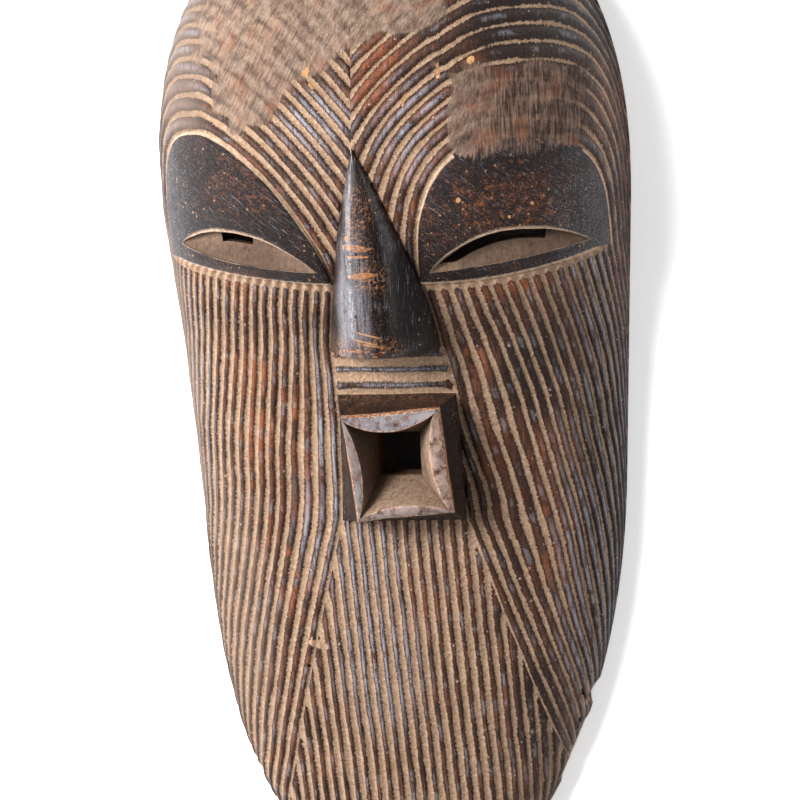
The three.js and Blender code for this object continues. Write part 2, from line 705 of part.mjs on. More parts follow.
const holeCorners = [
  [-1, 1],
  [1, 1],
  [1, -1],
  [-1, -1],
].map(([x, y]) => [
  MOUTH_HOLE_CENTRE[0] + x * MOUTH_HOLE_HALF,
  MOUTH_HOLE_CENTRE[1] + y * MOUTH_HOLE_HALF,
]);
const NO_BOW = [0, 0, 0, 0];
const outerLip = mouthRing(MOUTH_FRONT, NO_BOW, (x, y) => frontZ(y) - LIP_BEVEL);
const innerLip = mouthRing(shrink(MOUTH_FRONT, LIP_CORNER_SHRINK), LIP_WIDTHS, (x, y) => frontZ(y));
const holeRing = mouthRing(holeCorners, NO_BOW, () => MOUTH_HOLE_Z);
zip(mouthLoop, mouthLoopAt, outerLip, ringAt, false);
strip(outerLip, innerLip, false);
strip(innerLip, holeRing, false);
const holeMiddle = put(new THREE.Vector3(...MOUTH_HOLE_CENTRE, MOUTH_HOLE_Z));
strip(holeRing, Array(holeRing.length).fill(holeMiddle), false);

// Eye fields: from the border to the lid, down into the almond recess
function eyeRing(eye, scale, height) {
  const ids = [];
  for (let i = 0; i < EYE_POINTS; i++) {
    const t = i / EYE_POINTS;
    const upper = t < 0.5;
    const u = upper ? 2 * t : 2 - 2 * t; // from the outer corner to the inner
    const x = mix(eye.outer[0], eye.inner[0], u);
    const chord = mix(eye.outer[1], eye.inner[1], u);
    const arch = (upper ? eye.arch : -eye.droop) * Math.sin(Math.PI * u) ** LID_ARCH_POWER;
    const middleX = (eye.outer[0] + eye.inner[0]) / 2;
    const middleY = (eye.outer[1] + eye.inner[1]) / 2 + eye.arch * EYE_MIDDLE_RISE;
    const p = [mix(middleX, x, scale), mix(middleY, chord + arch, scale)];
    ids.push(put(new THREE.Vector3(p[0], p[1], height(p[0], p[1], upper ? 1 : 0, u))));
  }
  return [...ids, ids[0]];
}
const eyeAt = Array.from({ length: EYE_POINTS + 1 }, (_, i) => i / EYE_POINTS);
for (const name of ["left", "right"]) {
  const { rows, foot } = halves[name];
  const eye = EYES[name];
  const flip = FIELDS[name].side > 0;
  // loop: outer corner, over the top, inner corner, back along the foot
  const over = rows.map((r) => r[0]).reverse();
  const loop = [...over, ...foot.slice(1)];
  const loopAt = loop.map((_, i) =>
    i < over.length
      ? (0.5 * i) / (over.length - 1)
      : 0.5 + (0.5 * (i - over.length + 1)) / (foot.length - 1),
  );
  const wide = eyeRing(eye, EYE_SWELL_SCALE, (x, y) => faceHeight(x, y) + FIELD_SWELL);
  const lid = eyeRing(eye, 1, (x, y, upper) => faceHeight(x, y) + (upper ? LID_SWELL : FIELD_SWELL));
  const well = eyeRing(eye, EYE_WELL_SCALE, (x, y, upper, u) => {
    const drop = upper ? RECESS_DEPTH * Math.sin(Math.PI * u) ** RECESS_POWER : WELL_STEP;
    return faceHeight(x, y) + FIELD_SWELL - drop;
  });
  zip(loop, loopAt, wide, eyeAt, flip);
  strip(wide, lid, flip);
  strip(lid, well, flip);
  // the floor runs level across the almond from the lower lid to under the upper lid
  for (let i = 0; i < EYE_POINTS / 2; i++) {
    const [a, b] = [well[i], well[i + 1]];
    const [c, d] = [well[EYE_POINTS - i - 1], well[(EYE_POINTS - i) % EYE_POINTS]];
    if (flip) quad(a, b, c, d);
    else quad(a, d, c, b);
  }
}

// Underside, then the solid
const rimLoop = [crownTip, ...rim.right, chinTip, ...[...rim.left].reverse()];
const outline = rimLoop.map((id) => new THREE.Vector2(vertices[3 * id], vertices[3 * id + 1]));
for (const [a, b, c] of THREE.ShapeUtils.triangulateShape([...outline].reverse(), [])) {
  const ids = [...rimLoop].reverse();
  triangles.push(ids[c], ids[b], ids[a]);
}

const wasm = await Module();
wasm.setup();
function solid(positions, indices) {
  return new wasm.Manifold(
    new wasm.Mesh({
      numProp: 3,
      vertProperties: new Float32Array(positions),
      triVerts: new Uint32Array(indices),
    }),
  );
}
// A block with a four-cornered outline [x, y] between two heights.
function block(corners, low, high) {
  const turned = THREE.ShapeUtils.area(corners.map((p) => new THREE.Vector2(...p))) < 0;
  const c = turned ? [...corners].reverse() : corners;
  const positions = [...c.flatMap((p) => [...p, low]), ...c.flatMap((p) => [...p, high])];
  const sides = [0, 1, 2, 3].flatMap((k) => {
    const n = (k + 1) % 4;
    return [k, n, n + 4, k, n + 4, k + 4];
  });
  return solid(positions, [0, 2, 1, 0, 3, 2, 4, 5, 6, 4, 6, 7, ...sides]);
}
let mask = solid(vertices, triangles);

// Hollow: the same egg, a wall thinner
const hollow = (() => {
  const [positions, indices] = [[], []];
  const shrinkY = (HALF_LENGTH - CROWN_WALL) / HALF_LENGTH;
  for (let i = 1; i < HOLLOW_ROWS; i++) {
    const y = -HALF_LENGTH * shrinkY * Math.cos((Math.PI * i) / HOLLOW_ROWS);
    const grow = y / shrinkY;
    const a = Math.max(halfWidth(grow) - WALL, 2);
    const d = Math.max(crest(grow) - WALL, 1);
    for (let j = 0; j <= HOLLOW_COLUMNS; j++) {
      const turn = Math.PI * (1 - j / HOLLOW_COLUMNS);
      const q = Math.sign(Math.cos(turn)) * Math.abs(Math.cos(turn)) ** (2 / ACROSS_POWER);
      const rise = Math.sin(turn) ** (2 / RISE_POWER);
      positions.push(middle(grow) + a * q, y, j === 0 || j === HOLLOW_COLUMNS ? -WALL : d * rise);
    }
  }
  const width = HOLLOW_COLUMNS + 1;
  const count = HOLLOW_ROWS - 1;
  for (let i = 0; i + 1 < count; i++)
    for (let j = 0; j <= HOLLOW_COLUMNS; j++) {
      const n = (j + 1) % width;
      const [a, b, c, e] = [i * width + j, i * width + n, (i + 1) * width + n, (i + 1) * width + j];
      indices.push(a, b, c, a, c, e);
    }
  for (let j = 1; j < HOLLOW_COLUMNS; j++) {
    indices.push(0, j + 1, j);
    const top = (count - 1) * width;
    indices.push(top, top + j, top + j + 1);
  }
  return solid(positions, indices);
})();
if (hollow.volume() < 0) throw new Error("hollow is inside out");
mask = mask.subtract(hollow);

// Mouth hole and eye slits run through to the hollow
mask = mask.subtract(block(holeCorners, -WALL, MOUTH_HOLE_Z + HOLE_OVERCUT));
for (const name of ["left", "right"]) {
  const eye = EYES[name];
  const lidY = (x) => {
    const u = (x - eye.outer[0]) / (eye.inner[0] - eye.outer[0]);
    return mix(eye.outer[1], eye.inner[1], u) + eye.arch * Math.sin(Math.PI * u) ** LID_ARCH_POWER;
  };
  for (let i = 0; i < SLIT_PARTS; i++) {
    const x0 = mix(eye.slit[0], eye.slit[1], i / SLIT_PARTS);
    const x1 = mix(eye.slit[0], eye.slit[1], (i + 1) / SLIT_PARTS);
    const [y0, y1] = [lidY(x0) - eye.slitUnder, lidY(x1) - eye.slitUnder];
    const corners = [
      [x0, y0 - eye.slitHeight],
      [x1, y1 - eye.slitHeight],
      [x1, y1],
      [x0, y0],
    ];
    const top = Math.max(faceHeight(x0, y0), faceHeight(x1, y1)) + FIELD_SWELL;
    mask = mask.subtract(block(corners, 0, top));
  }
}

// Breaks
for (const [x, y, along, high, deep] of CHIPS) {
  const side = Math.sign(x - middle(y));
  const edge = middle(y) + side * halfWidth(y);
  const slope = (halfWidth(y + 1) - halfWidth(y - 1)) / 2;
  const corner = (u, v) => [edge + side * (v + slope * u), y + u];
  const notch = [
    corner(-along / 2, -deep),
    corner(along / 2, -deep / 3),
    corner(along / 2, WALL),
    corner(-along / 2, WALL),
  ];
  mask = mask.subtract(block(notch, -WALL, high));
}

const out = mask.getMesh();
const geometry = new THREE.BufferGeometry();
geometry.setAttribute("position", new THREE.BufferAttribute(new Float32Array(out.vertProperties), 3));
geometry.setIndex(new THREE.BufferAttribute(new Uint32Array(out.triVerts), 1));
geometry.computeVertexNormals();
const wood = new THREE.MeshStandardMaterial({ color: WOOD_COLOUR, roughness: 0.6, metalness: 0 });
const node = new THREE.Mesh(geometry, wood);
node.name = "mask";
const group = new THREE.Group();
group.name = "carved_mask";
group.add(node);
export default group;
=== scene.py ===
# %% [markdown]
# # A carved wooden face mask
#
# The real thing is one block of wood, hollowed behind with an adze and gouged in front with hundreds of
# parallel lines. Pale clay sits in the lines, the ridges between them are dark and rubbed to a sheen.
# It can't stand by itself, so here it lies on its rim, face up, and the camera looks down on it.
#
# The measured solid of the mask is loaded first. Everything below is worked out in millimetres from the
# same named sizes, and turned into metres when it is put into the mesh.

import math

import bmesh
import bpy
import numpy as np
from mathutils import Matrix, Vector, geometry, noise


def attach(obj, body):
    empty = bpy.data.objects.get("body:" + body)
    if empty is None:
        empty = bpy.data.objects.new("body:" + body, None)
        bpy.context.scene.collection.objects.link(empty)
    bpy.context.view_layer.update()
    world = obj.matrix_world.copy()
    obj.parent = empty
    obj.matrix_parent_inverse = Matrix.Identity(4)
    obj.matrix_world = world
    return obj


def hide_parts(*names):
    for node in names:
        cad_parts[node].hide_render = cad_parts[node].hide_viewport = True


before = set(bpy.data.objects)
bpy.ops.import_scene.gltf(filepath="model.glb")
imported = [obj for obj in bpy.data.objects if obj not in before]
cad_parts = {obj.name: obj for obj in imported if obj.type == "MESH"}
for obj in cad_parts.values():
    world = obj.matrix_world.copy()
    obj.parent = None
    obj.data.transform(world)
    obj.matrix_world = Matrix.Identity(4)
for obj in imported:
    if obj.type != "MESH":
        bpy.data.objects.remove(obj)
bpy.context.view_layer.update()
MM = 0.001

# %% [markdown]
# ## The egg under the carving
#
# Before any line is cut, the carver has a smooth egg: an outline seen from the front, a profile seen from
# the side, and a rounded section across. A sculpted mesh could give that shape, but three small functions
# of the height up the face give it exactly, and every later cut can then be placed on it by rule.

# %% Sizes of the egg
HALF_LENGTH = 280.0
HALF_WIDTH = 120.0
WIDTH_TAPER = 0.047
CROWN_ROUNDING = (100.0, 2.35)
CHIN_ROUNDING = (-55.0, 2.35)
CHIN_LEAN = -9.3
# height of the middle line over the rim at places up the face, in mm
CREST = [(-280, 33), (-205, 40), (-145, 50), (-85, 58), (-25, 64)]
CREST += [(35, 76), (68, 92), (106, 109), (141, 114), (280, 114)]
CROWN_DOME = (150.0, 2.0)
CHIN_DOME = (-200.0, 3.0)
ACROSS_POWER = 2.3
RISE_POWER = 2.8
print("egg:", 2 * HALF_LENGTH, "mm long, about", 2 * HALF_WIDTH, "mm wide")

# %% [markdown]
# A handful of curves does all the shaping. Mix and ease blend between two values, round off closes an end
# like a fingertip, and the smooth curve runs through a few measured places without bulging between them.

# %% Curves
def mix(a, b, t):
    return a + (b - a) * t


def ease(low, high, value):
    t = np.clip((value - low) / (high - low), 0.0, 1.0)
    return t * t * (3.0 - 2.0 * t)


def between(a, b, c, d, value):
    """1 from b to c, fading to 0 at a and d."""
    return ease(a, b, value) * (1.0 - ease(c, d, value))


def round_off(y, start, end, power):
    t = np.clip((y - start) / (end - start), 0.0, 1.0)
    return (1.0 - t**power) ** (1.0 / power)


def smooth_curve(points, at):
    """A curve through a few points that never overshoots them."""
    xs, ys = np.array(points, float).T
    at = np.clip(np.asarray(at, float), xs[0], xs[-1])
    h = np.diff(xs)
    slope = np.diff(ys) / h
    both = slope[:-1] * slope[1:]
    total = slope[:-1] + slope[1:]
    inner = np.where(both > 0, 2 * both / np.where(total == 0, 1, total), 0)
    tangent = np.concatenate([[slope[0]], inner, [slope[-1]]])
    i = np.clip(np.searchsorted(xs, at, side="right") - 1, 0, len(xs) - 2)
    t = (at - xs[i]) / h[i]
    ends = ys[i] * (1 + 2 * t) * (1 - t) ** 2 + ys[i + 1] * t * t * (3 - 2 * t)
    return ends + h[i] * (tangent[i] * t * (1 - t) ** 2 - tangent[i + 1] * t * t * (1 - t))


print("ease at a quarter, half and three quarters:", ease(0, 1, np.array([0.25, 0.5, 0.75])).round(2))

# %% [markdown]
# With those, the egg is its half width and its crest at each height up the face, joined by a rounded section.

# %% Outline, profile and section of the egg
def half_width(y):
    crown = round_off(y, CROWN_ROUNDING[0], HALF_LENGTH, CROWN_ROUNDING[1])
    chin = round_off(y, CHIN_ROUNDING[0], -HALF_LENGTH, CHIN_ROUNDING[1])
    return (HALF_WIDTH + WIDTH_TAPER * y) * crown * chin


def middle(y):
    return CHIN_LEAN * ease(-40.0, -260.0, y)


def crest(y):
    crown = round_off(y, CROWN_DOME[0], HALF_LENGTH, CROWN_DOME[1])
    chin = round_off(y, CHIN_DOME[0], -HALF_LENGTH, CHIN_DOME[1])
    return smooth_curve(CREST, y) * crown * chin


def face_height(x, y):
    q = np.clip(np.abs(x - middle(y)) / np.maximum(half_width(y), 1e-6), 0, 1)
    return crest(y) * (1 - q**ACROSS_POWER) ** (1 / RISE_POWER)


def on_face(x, y):
    x, y = np.broadcast_arrays(np.asarray(x, float), np.asarray(y, float))
    return np.stack([x, y, face_height(x, y)], axis=-1)


for place, y in (("brow", 106.0), ("mouth", -20.0)):
    print("the", place, "stands", round(float(crest(y)), 1), "mm over the rim")

# %% [markdown]
# ## Unrolling the egg
#
# A carver lays the lines side by side on the curved wood, a gouge's width apart. To do the same, the egg is
# unrolled like a rug: one number says how far round the section a point is, the other how far along the
# face. Lines are spaced on the rug and rolled back on, so they keep their width down the steep sides.

# %% Roll and unroll
SECTION_STEPS = 56
SECTION_Q = 1 - (1 - np.linspace(0, 1, SECTION_STEPS + 1)) ** RISE_POWER
SECTION_RISE = np.maximum(1 - SECTION_Q**ACROSS_POWER, 0) ** (1 / RISE_POWER)
LENGTH_Y = HALF_LENGTH * np.sin(np.linspace(-math.pi / 2, math.pi / 2, 401))
LENGTH_W = np.concatenate([[0], np.cumsum(np.hypot(np.diff(LENGTH_Y), np.diff(crest(LENGTH_Y))))])


def section_arcs(width, height):
    steps = np.hypot(width[:, None] * np.diff(SECTION_Q), height[:, None] * np.diff(SECTION_RISE))
    return np.pad(np.cumsum(steps, axis=1), ((0, 0), (1, 0)))


def row_lookup(places, values, at):
    """Reads a straight-line table that is different for each row."""
    rows = np.arange(len(at))
    i = np.clip((places <= at[:, None]).sum(axis=1) - 1, 0, places.shape[1] - 2)
    low, high = places[rows, i], places[rows, i + 1]
    t = np.clip((at - low) / np.maximum(high - low, 1e-9), 0, 1)
    return mix(values[rows, i], values[rows, i + 1], t)


def length_at(y):
    return np.interp(y, LENGTH_Y, LENGTH_W)


def y_at(w):
    return np.interp(w, LENGTH_W, LENGTH_Y)


def unroll(x, y):
    x, y = [np.atleast_1d(np.asarray(v, float)) for v in np.broadcast_arrays(x, y)]
    q = np.clip(np.abs(x - middle(y)) / np.maximum(half_width(y), 1e-6), 0, 1)
    arcs = section_arcs(half_width(y), crest(y))
    s = row_lookup(np.broadcast_to(SECTION_Q, arcs.shape), arcs, q)
    return np.sign(x - middle(y)) * s, length_at(y)


def roll(s, w):
    s, w = [np.asarray(v, float) for v in np.broadcast_arrays(s, w)]
    flat_s, y = s.ravel(), y_at(w.ravel())
    wide, high = half_width(y), crest(y)
    arcs = section_arcs(wide, high)
    q = row_lookup(arcs, np.broadcast_to(SECTION_Q, arcs.shape), np.abs(flat_s))
    z = high * np.maximum(1 - q**ACROSS_POWER, 0) ** (1 / RISE_POWER)
    return np.stack([middle(y) + np.sign(flat_s) * q * wide, y, z], axis=-1).reshape(*s.shape, 3)


def reach(y):
    y = np.atleast_1d(np.asarray(y, float))
    return section_arcs(half_width(y), crest(y))[:, -1]


print("length over the face:", round(float(LENGTH_W[-1])), "mm")
print("round the brow:", round(float(2 * reach(106.0)[0])), "mm")

# %% [markdown]
# A gouge cuts straight into the wood, so the depth of a cut goes along the surface's own direction. The egg
# has a formula that is level all over its skin, and the steepest way out of it is that direction.

# %% Straight out of the egg
def outward(points):
    """Direction straight out of the egg at each point."""
    x, y, z = points[..., 0], np.clip(points[..., 1], -HALF_LENGTH + 2, HALF_LENGTH - 2), points[..., 2]

    def level(px, py, pz):
        q = np.abs(px - middle(py)) / np.maximum(half_width(py), 1e-3)
        return q**ACROSS_POWER + (np.maximum(pz, 0) / np.maximum(crest(py), 1e-3)) ** RISE_POWER

    h = 0.5
    n = np.stack(
        [
            level(x + h, y, z) - level(x - h, y, z),
            level(x, y + h, z) - level(x, y - h, z),
            level(x, y, z + h) - level(x, y, z - h),
        ],
        axis=-1,
    )
    return n / np.maximum(np.linalg.norm(n, axis=-1, keepdims=True), 1e-9)


print("straight out at the brow:", outward(on_face(0.0, 106.0)).round(2).tolist())

# %% [markdown]
# ## One gouged line
#
# Each line is a round-bottomed groove about 6 mm from the next, and the wood between two lines is left as a
# rounded ridge. A grid that runs along the lines needs only six columns a line for that profile, where an
# even grid would need several times as many. Every column carries its "phase": whole numbers are the bottoms
# of grooves, halves are the tops of ridges. The finish reads it later to put the clay in the grooves.

# %% Groove profile and scraped places
GROOVE_DEPTH = 1.5
WORN_DEPTH = 0.35
LINE_COLUMNS = 6
COLUMN_PHASES = np.array([0.0, 0.2, 0.34, 0.5, 0.66, 0.8])
SCRAPED_ROUNDS = [(-46, 208, 40, 30), (-55, 175, 19, 18), (-12, 214, 30, 20), (22, 212, 22, 10)]
SCRAPED_BLOCK = ((46, 52, 106, 120), (134, 146, 180, 187))
LINE_CLEARANCE = 1.3
PHASE_CLEARANCE = 0.12


def column_phase(j):
    """Phase of column j of a sheet of lines; also for negative j."""
    j = np.asarray(j)
    return np.floor_divide(j, LINE_COLUMNS) + COLUMN_PHASES[np.mod(j, LINE_COLUMNS)]


def waver(x, y, size):
    """A number that wanders between -1 and 1, for edges that must not look ruled."""
    across = np.sin(x / size + 2.1 * np.sin(0.7 * y / size))
    return 0.5 * (across + np.sin(1.3 * y / size + 1.7 * np.sin(0.9 * x / size)))


def scraped(x, y):
    uneven = waver(x, y, 4.0)
    parts = []
    for cx, cy, rx, ry in SCRAPED_ROUNDS:
        parts.append(ease(1.3, 0.9, np.hypot((x - cx) / rx, (y - cy) / ry) + 0.14 * uneven))
    parts.append(between(*SCRAPED_BLOCK[0], x + 2 * uneven) * between(*SCRAPED_BLOCK[1], y + 3 * uneven))
    return np.maximum.reduce(parts)


def cut_depth(phase, points):
    from_groove = np.abs(phase - np.round(phase))
    profile = 1 - ease(0.12, 0.42, from_groove)
    return mix(GROOVE_DEPTH, WORN_DEPTH, scraped(points[..., 0], points[..., 1])) * profile


def carve(points, phase):
    points = np.asarray(points, float)
    return points - outward(points) * np.asarray(cut_depth(phase, points))[..., None]


print("columns of one line at", COLUMN_PHASES.tolist(), "of its pitch")

# %% [markdown]
# ## Where the features lie
#
# The eye fields, the nose, the mouth box and the two seams beside the chin divide the face into sheets of
# lines. Their borders are short formulas with a few sizes each. On the real mask they were drawn by eye, so
# the two sides differ, and each side has its own numbers.

# %% Sizes and places of the features
# left and right are as the photograph shows them, and so all through this script
# outer and peak: x, y of the outer corner and the top of an eye field; the powers round its two halves;
# sag: how far its foot hangs; then the lines on that side; swell: how far the cheek lines bow outwards
FIELDS = {
    "left": dict(
        side=-1, outer=(-115.5, 87), peak=(-86, 155), outer_power=3.2, inner_power=1.52, sag=2,
        lines_at_apex=7, cheek_lines=20, cheek_pitch=6.4, lines_from_mouth=0, rim_rows=54,
        swell=4.6, swell_at=(-210, -90, -30, 40),
    ),
    "right": dict(
        side=1, outer=(120.3, 87), peak=(73, 147.6), outer_power=3.6, inner_power=2.4, sag=4,
        lines_at_apex=6, cheek_lines=17, cheek_pitch=6.6, lines_from_mouth=2, rim_rows=36,
        swell=7.0, swell_at=(-130, -60, 0, 72),
    ),
}
FLANK_ROWS = 26
MEDIAN_ROWS = 40
FIELD_INNER_Y = 73.3
SIDE_PITCH = 8.7
MEDIAN_PITCH = 10.4
NOSE_APEX_Y = 146.0
NOSE_FOOT_Y = 39.5
NOSE_AXIS = (0.0, 4.3)
NOSE_HALF_WIDTH = 29.0
NOSE_SPREAD_POWER = {-1: 1.1, 1: 1.7}
INNER_EDGE = {
    "left": [(-57, -28), (10, -25), (39.5, -24.7)],
    "right": [(-57, 39.5), (-10, 39.5), (10, 38.5), (28, 36), (39.5, 33.3)],
}
SEAM_SLOPE = {"left": -0.283, "right": 0.306}
MOUTH_FOOT_Y = -57.0
LIP_TOP_Y = 12.5
ROWS_LEVEL_Y = -20.0
EDGE_ROUND = 0.8
print("lines across the cheeks:", [field["cheek_lines"] for field in FIELDS.values()])

# %% [markdown]
# Each border is then a short function: the nose widens downwards, a cheek's inner border follows whatever
# stands beside it, and an eye field is two quarters of a rounded arch on a sagging foot.

# %% Functions for the borders
def nose_edge(side, y):
    t = np.clip((NOSE_APEX_Y - y) / (NOSE_APEX_Y - NOSE_FOOT_Y), 0, 1)
    spread = 1 - (1 - t) ** NOSE_SPREAD_POWER[side]
    return mix(NOSE_AXIS[0], NOSE_AXIS[1], t) + side * NOSE_HALF_WIDTH * spread


def inner_edge(name, y):
    """Inner border of a cheek: nose, lip, mouth box, then the seam beside the chin."""
    side = FIELDS[name]["side"]
    if y >= NOSE_FOOT_Y:
        return float(nose_edge(side, y))
    if y >= MOUTH_FOOT_Y:
        return float(smooth_curve(INNER_EDGE[name], y))
    return INNER_EDGE[name][0][1] + SEAM_SLOPE[name] * (MOUTH_FOOT_Y - y)


def field_border(field, t):
    """Border of an eye field from its outer corner (0) over the top to the inner corner (1)."""
    t = np.asarray(t, float)
    turn = np.pi * t
    (ox, oy), (px, py) = field["outer"], field["peak"]
    ix, iy = nose_edge(field["side"], FIELD_INNER_Y), FIELD_INNER_Y
    cos, sin = np.cos(turn), np.maximum(np.sin(turn), 0)
    a, b = 2 / field["outer_power"], 2 / field["inner_power"]
    outer = np.stack([px + (ox - px) * np.maximum(cos, 0) ** a, oy + (py - oy) * sin**a], -1)
    inner = np.stack([px + (ix - px) * np.maximum(-cos, 0) ** b, iy + (py - iy) * sin**b], -1)
    return np.where((t < 0.5)[..., None], outer, inner)


def field_foot(field, t):
    """Lower border of an eye field from the inner corner (0) to the outer corner (1)."""
    t = np.asarray(t, float)
    x = mix(nose_edge(field["side"], FIELD_INNER_Y), field["outer"][0], t)
    return np.stack([x, mix(FIELD_INNER_Y, field["outer"][1], t) - field["sag"] * 4 * t * (1 - t)], -1)


def rim_point(side, y):
    return np.array([float(middle(y) + side * half_width(y)), float(y), EDGE_ROUND])


for name, field in FIELDS.items():
    width = abs(field["outer"][0] - nose_edge(field["side"], FIELD_INNER_Y))
    print(name, "eye field is", round(float(width)), "mm wide")


# %% [markdown]
# ## Forehead
#
# On each half of the forehead the lines run round the eye field like ripples and stop at the nose, at the
# middle line and at the rim. So the half is one sheet whose rows start on the field's border and run out to
# those three edges. Rows that are shorter end early: their last columns close up on the end point, and the
# merging of doubled points later turns those into clean fans.

# %% Where the rows of the forehead end
BORDER_STEPS = 2400
ROW_STEPS = 32
flank_y = np.linspace(FIELD_INNER_Y, NOSE_APEX_Y, FLANK_ROWS + 1)
median_length = float(length_at(HALF_LENGTH) - length_at(NOSE_APEX_Y))
median_lines = round(median_length / MEDIAN_PITCH)
median_y = y_at(length_at(NOSE_APEX_Y) + median_length * np.arange(1, MEDIAN_ROWS) / MEDIAN_ROWS)


def rim_levels(rows):
    """Places down the rim from the crown to the eye field, evenly along the rim."""
    y = mix(FIELDS["left"]["outer"][1], HALF_LENGTH, np.cos(np.linspace(0, math.pi / 2, 301)))
    run = np.concatenate([[0], np.cumsum(np.hypot(np.diff(half_width(y)), np.diff(y)))])
    return np.interp(run[-1] * np.arange(1, rows + 1) / rows, run, y)


nose_apex = carve(on_face(NOSE_AXIS[0], NOSE_APEX_Y), 0.5)
crown_tip = np.array([0.0, HALF_LENGTH, EDGE_ROUND])
median_points = carve(roll(np.zeros(len(median_y)), length_at(median_y)), 0.0)
flank_points = {}
rim_points = {"left": [], "right": []}
sheets = {}
print("lines along the middle of the forehead:", median_lines)

# %% [markdown]
# A row starts at the nearest place on the border, but never crosses the row before it. How many lines fit in
# it follows from its length and the pitch, which may only change slowly, or the lines would show a kink.

# %% Starts and line counts of the rows
def row_feet(ends, border_s, border_w):
    feet = []
    distances = []
    last = BORDER_STEPS
    for i, (s, w, _) in enumerate(ends):
        away = np.hypot(border_s[: last + 1] - s, border_w[: last + 1] - w)
        at = int(np.argmin(away))
        distances.append(float(away[at]))
        if i == 0:
            at = BORDER_STEPS
        elif i == len(ends) - 1:
            at = 0
        else:
            at = int(np.clip(at, len(ends) - 1 - i, last - 2))
        feet.append(at)
        last = at
    return feet, np.array(distances)


def lines_in_rows(field, distances):
    apex, crown = FLANK_ROWS, FLANK_ROWS + MEDIAN_ROWS
    most = field["lines_at_apex"] + median_lines
    apex_pitch = distances[apex] / field["lines_at_apex"]
    crown_pitch = distances[crown] / most
    i = np.arange(len(distances))
    pitch = mix(apex_pitch, crown_pitch, ease(apex, crown, i))
    pitch = mix(pitch, SIDE_PITCH, ease(crown, len(distances) - 1, i))
    return np.minimum(distances / pitch, most), most


row_counts = [len(flank_y) + MEDIAN_ROWS + field["rim_rows"] for field in FIELDS.values()]
print("rows on each half of the forehead:", row_counts)

# %% [markdown]
# Now the rows themselves: along each, the places of the columns are read off the unrolled egg, rolled back on
# and carved. Columns past the end of a row all lie on its end point.

# %% Rows of the forehead
def forehead_half(name):
    field = FIELDS[name]
    side = field["side"]
    flank = carve(on_face(nose_edge(side, flank_y), flank_y), 0.0)
    flank[-1] = nose_apex
    flank_points[name] = flank
    border_xy = field_border(field, np.linspace(0, 1, BORDER_STEPS + 1))
    border_s, border_w = unroll(border_xy[:, 0], border_xy[:, 1])
    ends = []
    for k, y in enumerate(flank_y):
        s, w = unroll(nose_edge(side, y), y)
        ends.append((s[0], w[0], flank[k]))
    for k, y in enumerate(median_y):
        ends.append((0.0, float(length_at(y)), median_points[k]))
    ends.append((0.0, float(length_at(HALF_LENGTH)), crown_tip))
    for y in rim_levels(field["rim_rows"]):
        point = rim_point(side, y)
        rim_points[name].append(point)
        ends.append((side * reach(y)[0], float(length_at(y)), point))
    feet, distances = row_feet(ends, border_s, border_w)
    counts, most = lines_in_rows(field, distances)
    columns = LINE_COLUMNS * most + 1
    points = np.zeros((len(ends), columns, 3))
    phases = np.zeros((len(ends), columns))
    runs = np.zeros((len(ends), columns))
    for i, (s, w, end) in enumerate(ends):
        at, count = feet[i], counts[i]
        foot_point = carve(on_face(*border_xy[at]), 0.0)
        share = np.linspace(0, 1, ROW_STEPS + 1)
        along = roll(mix(border_s[at], s, share), mix(border_w[at], w, share))
        run = np.concatenate([[0], np.cumsum(np.linalg.norm(np.diff(along, axis=0), axis=1))])
        phase = column_phase(np.arange(columns))
        inside = phase < count - PHASE_CLEARANCE
        t = np.interp(run[-1] * np.minimum(phase / max(count, 1e-6), 1), run, share)
        row = carve(roll(mix(border_s[at], s, t), mix(border_w[at], w, t)), phase)
        row[0] = foot_point
        row[~inside] = end
        if i == 0:
            row[:] = end
        points[i] = row
        phases[i] = np.where(inside, phase, count)
        runs[i] = i
    sheets[name] = dict(points=points, lines_at_rim=counts[-1])
    return dict(points=points, across=phases, along=runs)


forehead = {name: forehead_half(name) for name in FIELDS}
print("forehead rows and columns:", [forehead[n]["points"].shape[:2] for n in forehead])

# %% [markdown]
# ## Cheeks and side walls
#
# Below the eye fields the lines turn and run down the face. A cheek is a sheet that hangs from the foot of
# the eye field, carries on where the side lines of the forehead end, and narrows until it runs out on the
# rim. Its rows follow the nose, the lip, the mouth box and the seam, so that the neighbours share the points.

# %% Levels of the rows, and the first row of a cheek
LIP_PHASE_AT = [(12.5, 3.0), (18.0, 2.5), (22.5, 2.0), (26.7, 1.5), (31.0, 1.0), (35.0, 0.5), (38.4, 0.0)]
lip_phases = column_phase(np.arange(0, 3 * LINE_COLUMNS + 1))
lip_y = np.interp(-lip_phases, [-p for _, p in LIP_PHASE_AT], [y for y, _ in LIP_PHASE_AT])
nose_side_y = np.linspace(FIELD_INNER_Y, NOSE_FOOT_Y, 10)[1:]
mouth_side_y = np.linspace(LIP_TOP_Y, MOUTH_FOOT_Y, 21)[1:]
chin_y = MOUTH_FOOT_Y - (HALF_LENGTH - 0.8 + MOUTH_FOOT_Y) * np.sin(np.linspace(0, math.pi / 2, 61)[1:])
levels = np.concatenate([nose_side_y, lip_y, mouth_side_y, chin_y])
MOUTH_TOP_ROW = len(nose_side_y) + len(lip_y) - 1
MOUTH_FOOT_ROW = MOUTH_TOP_ROW + len(mouth_side_y)


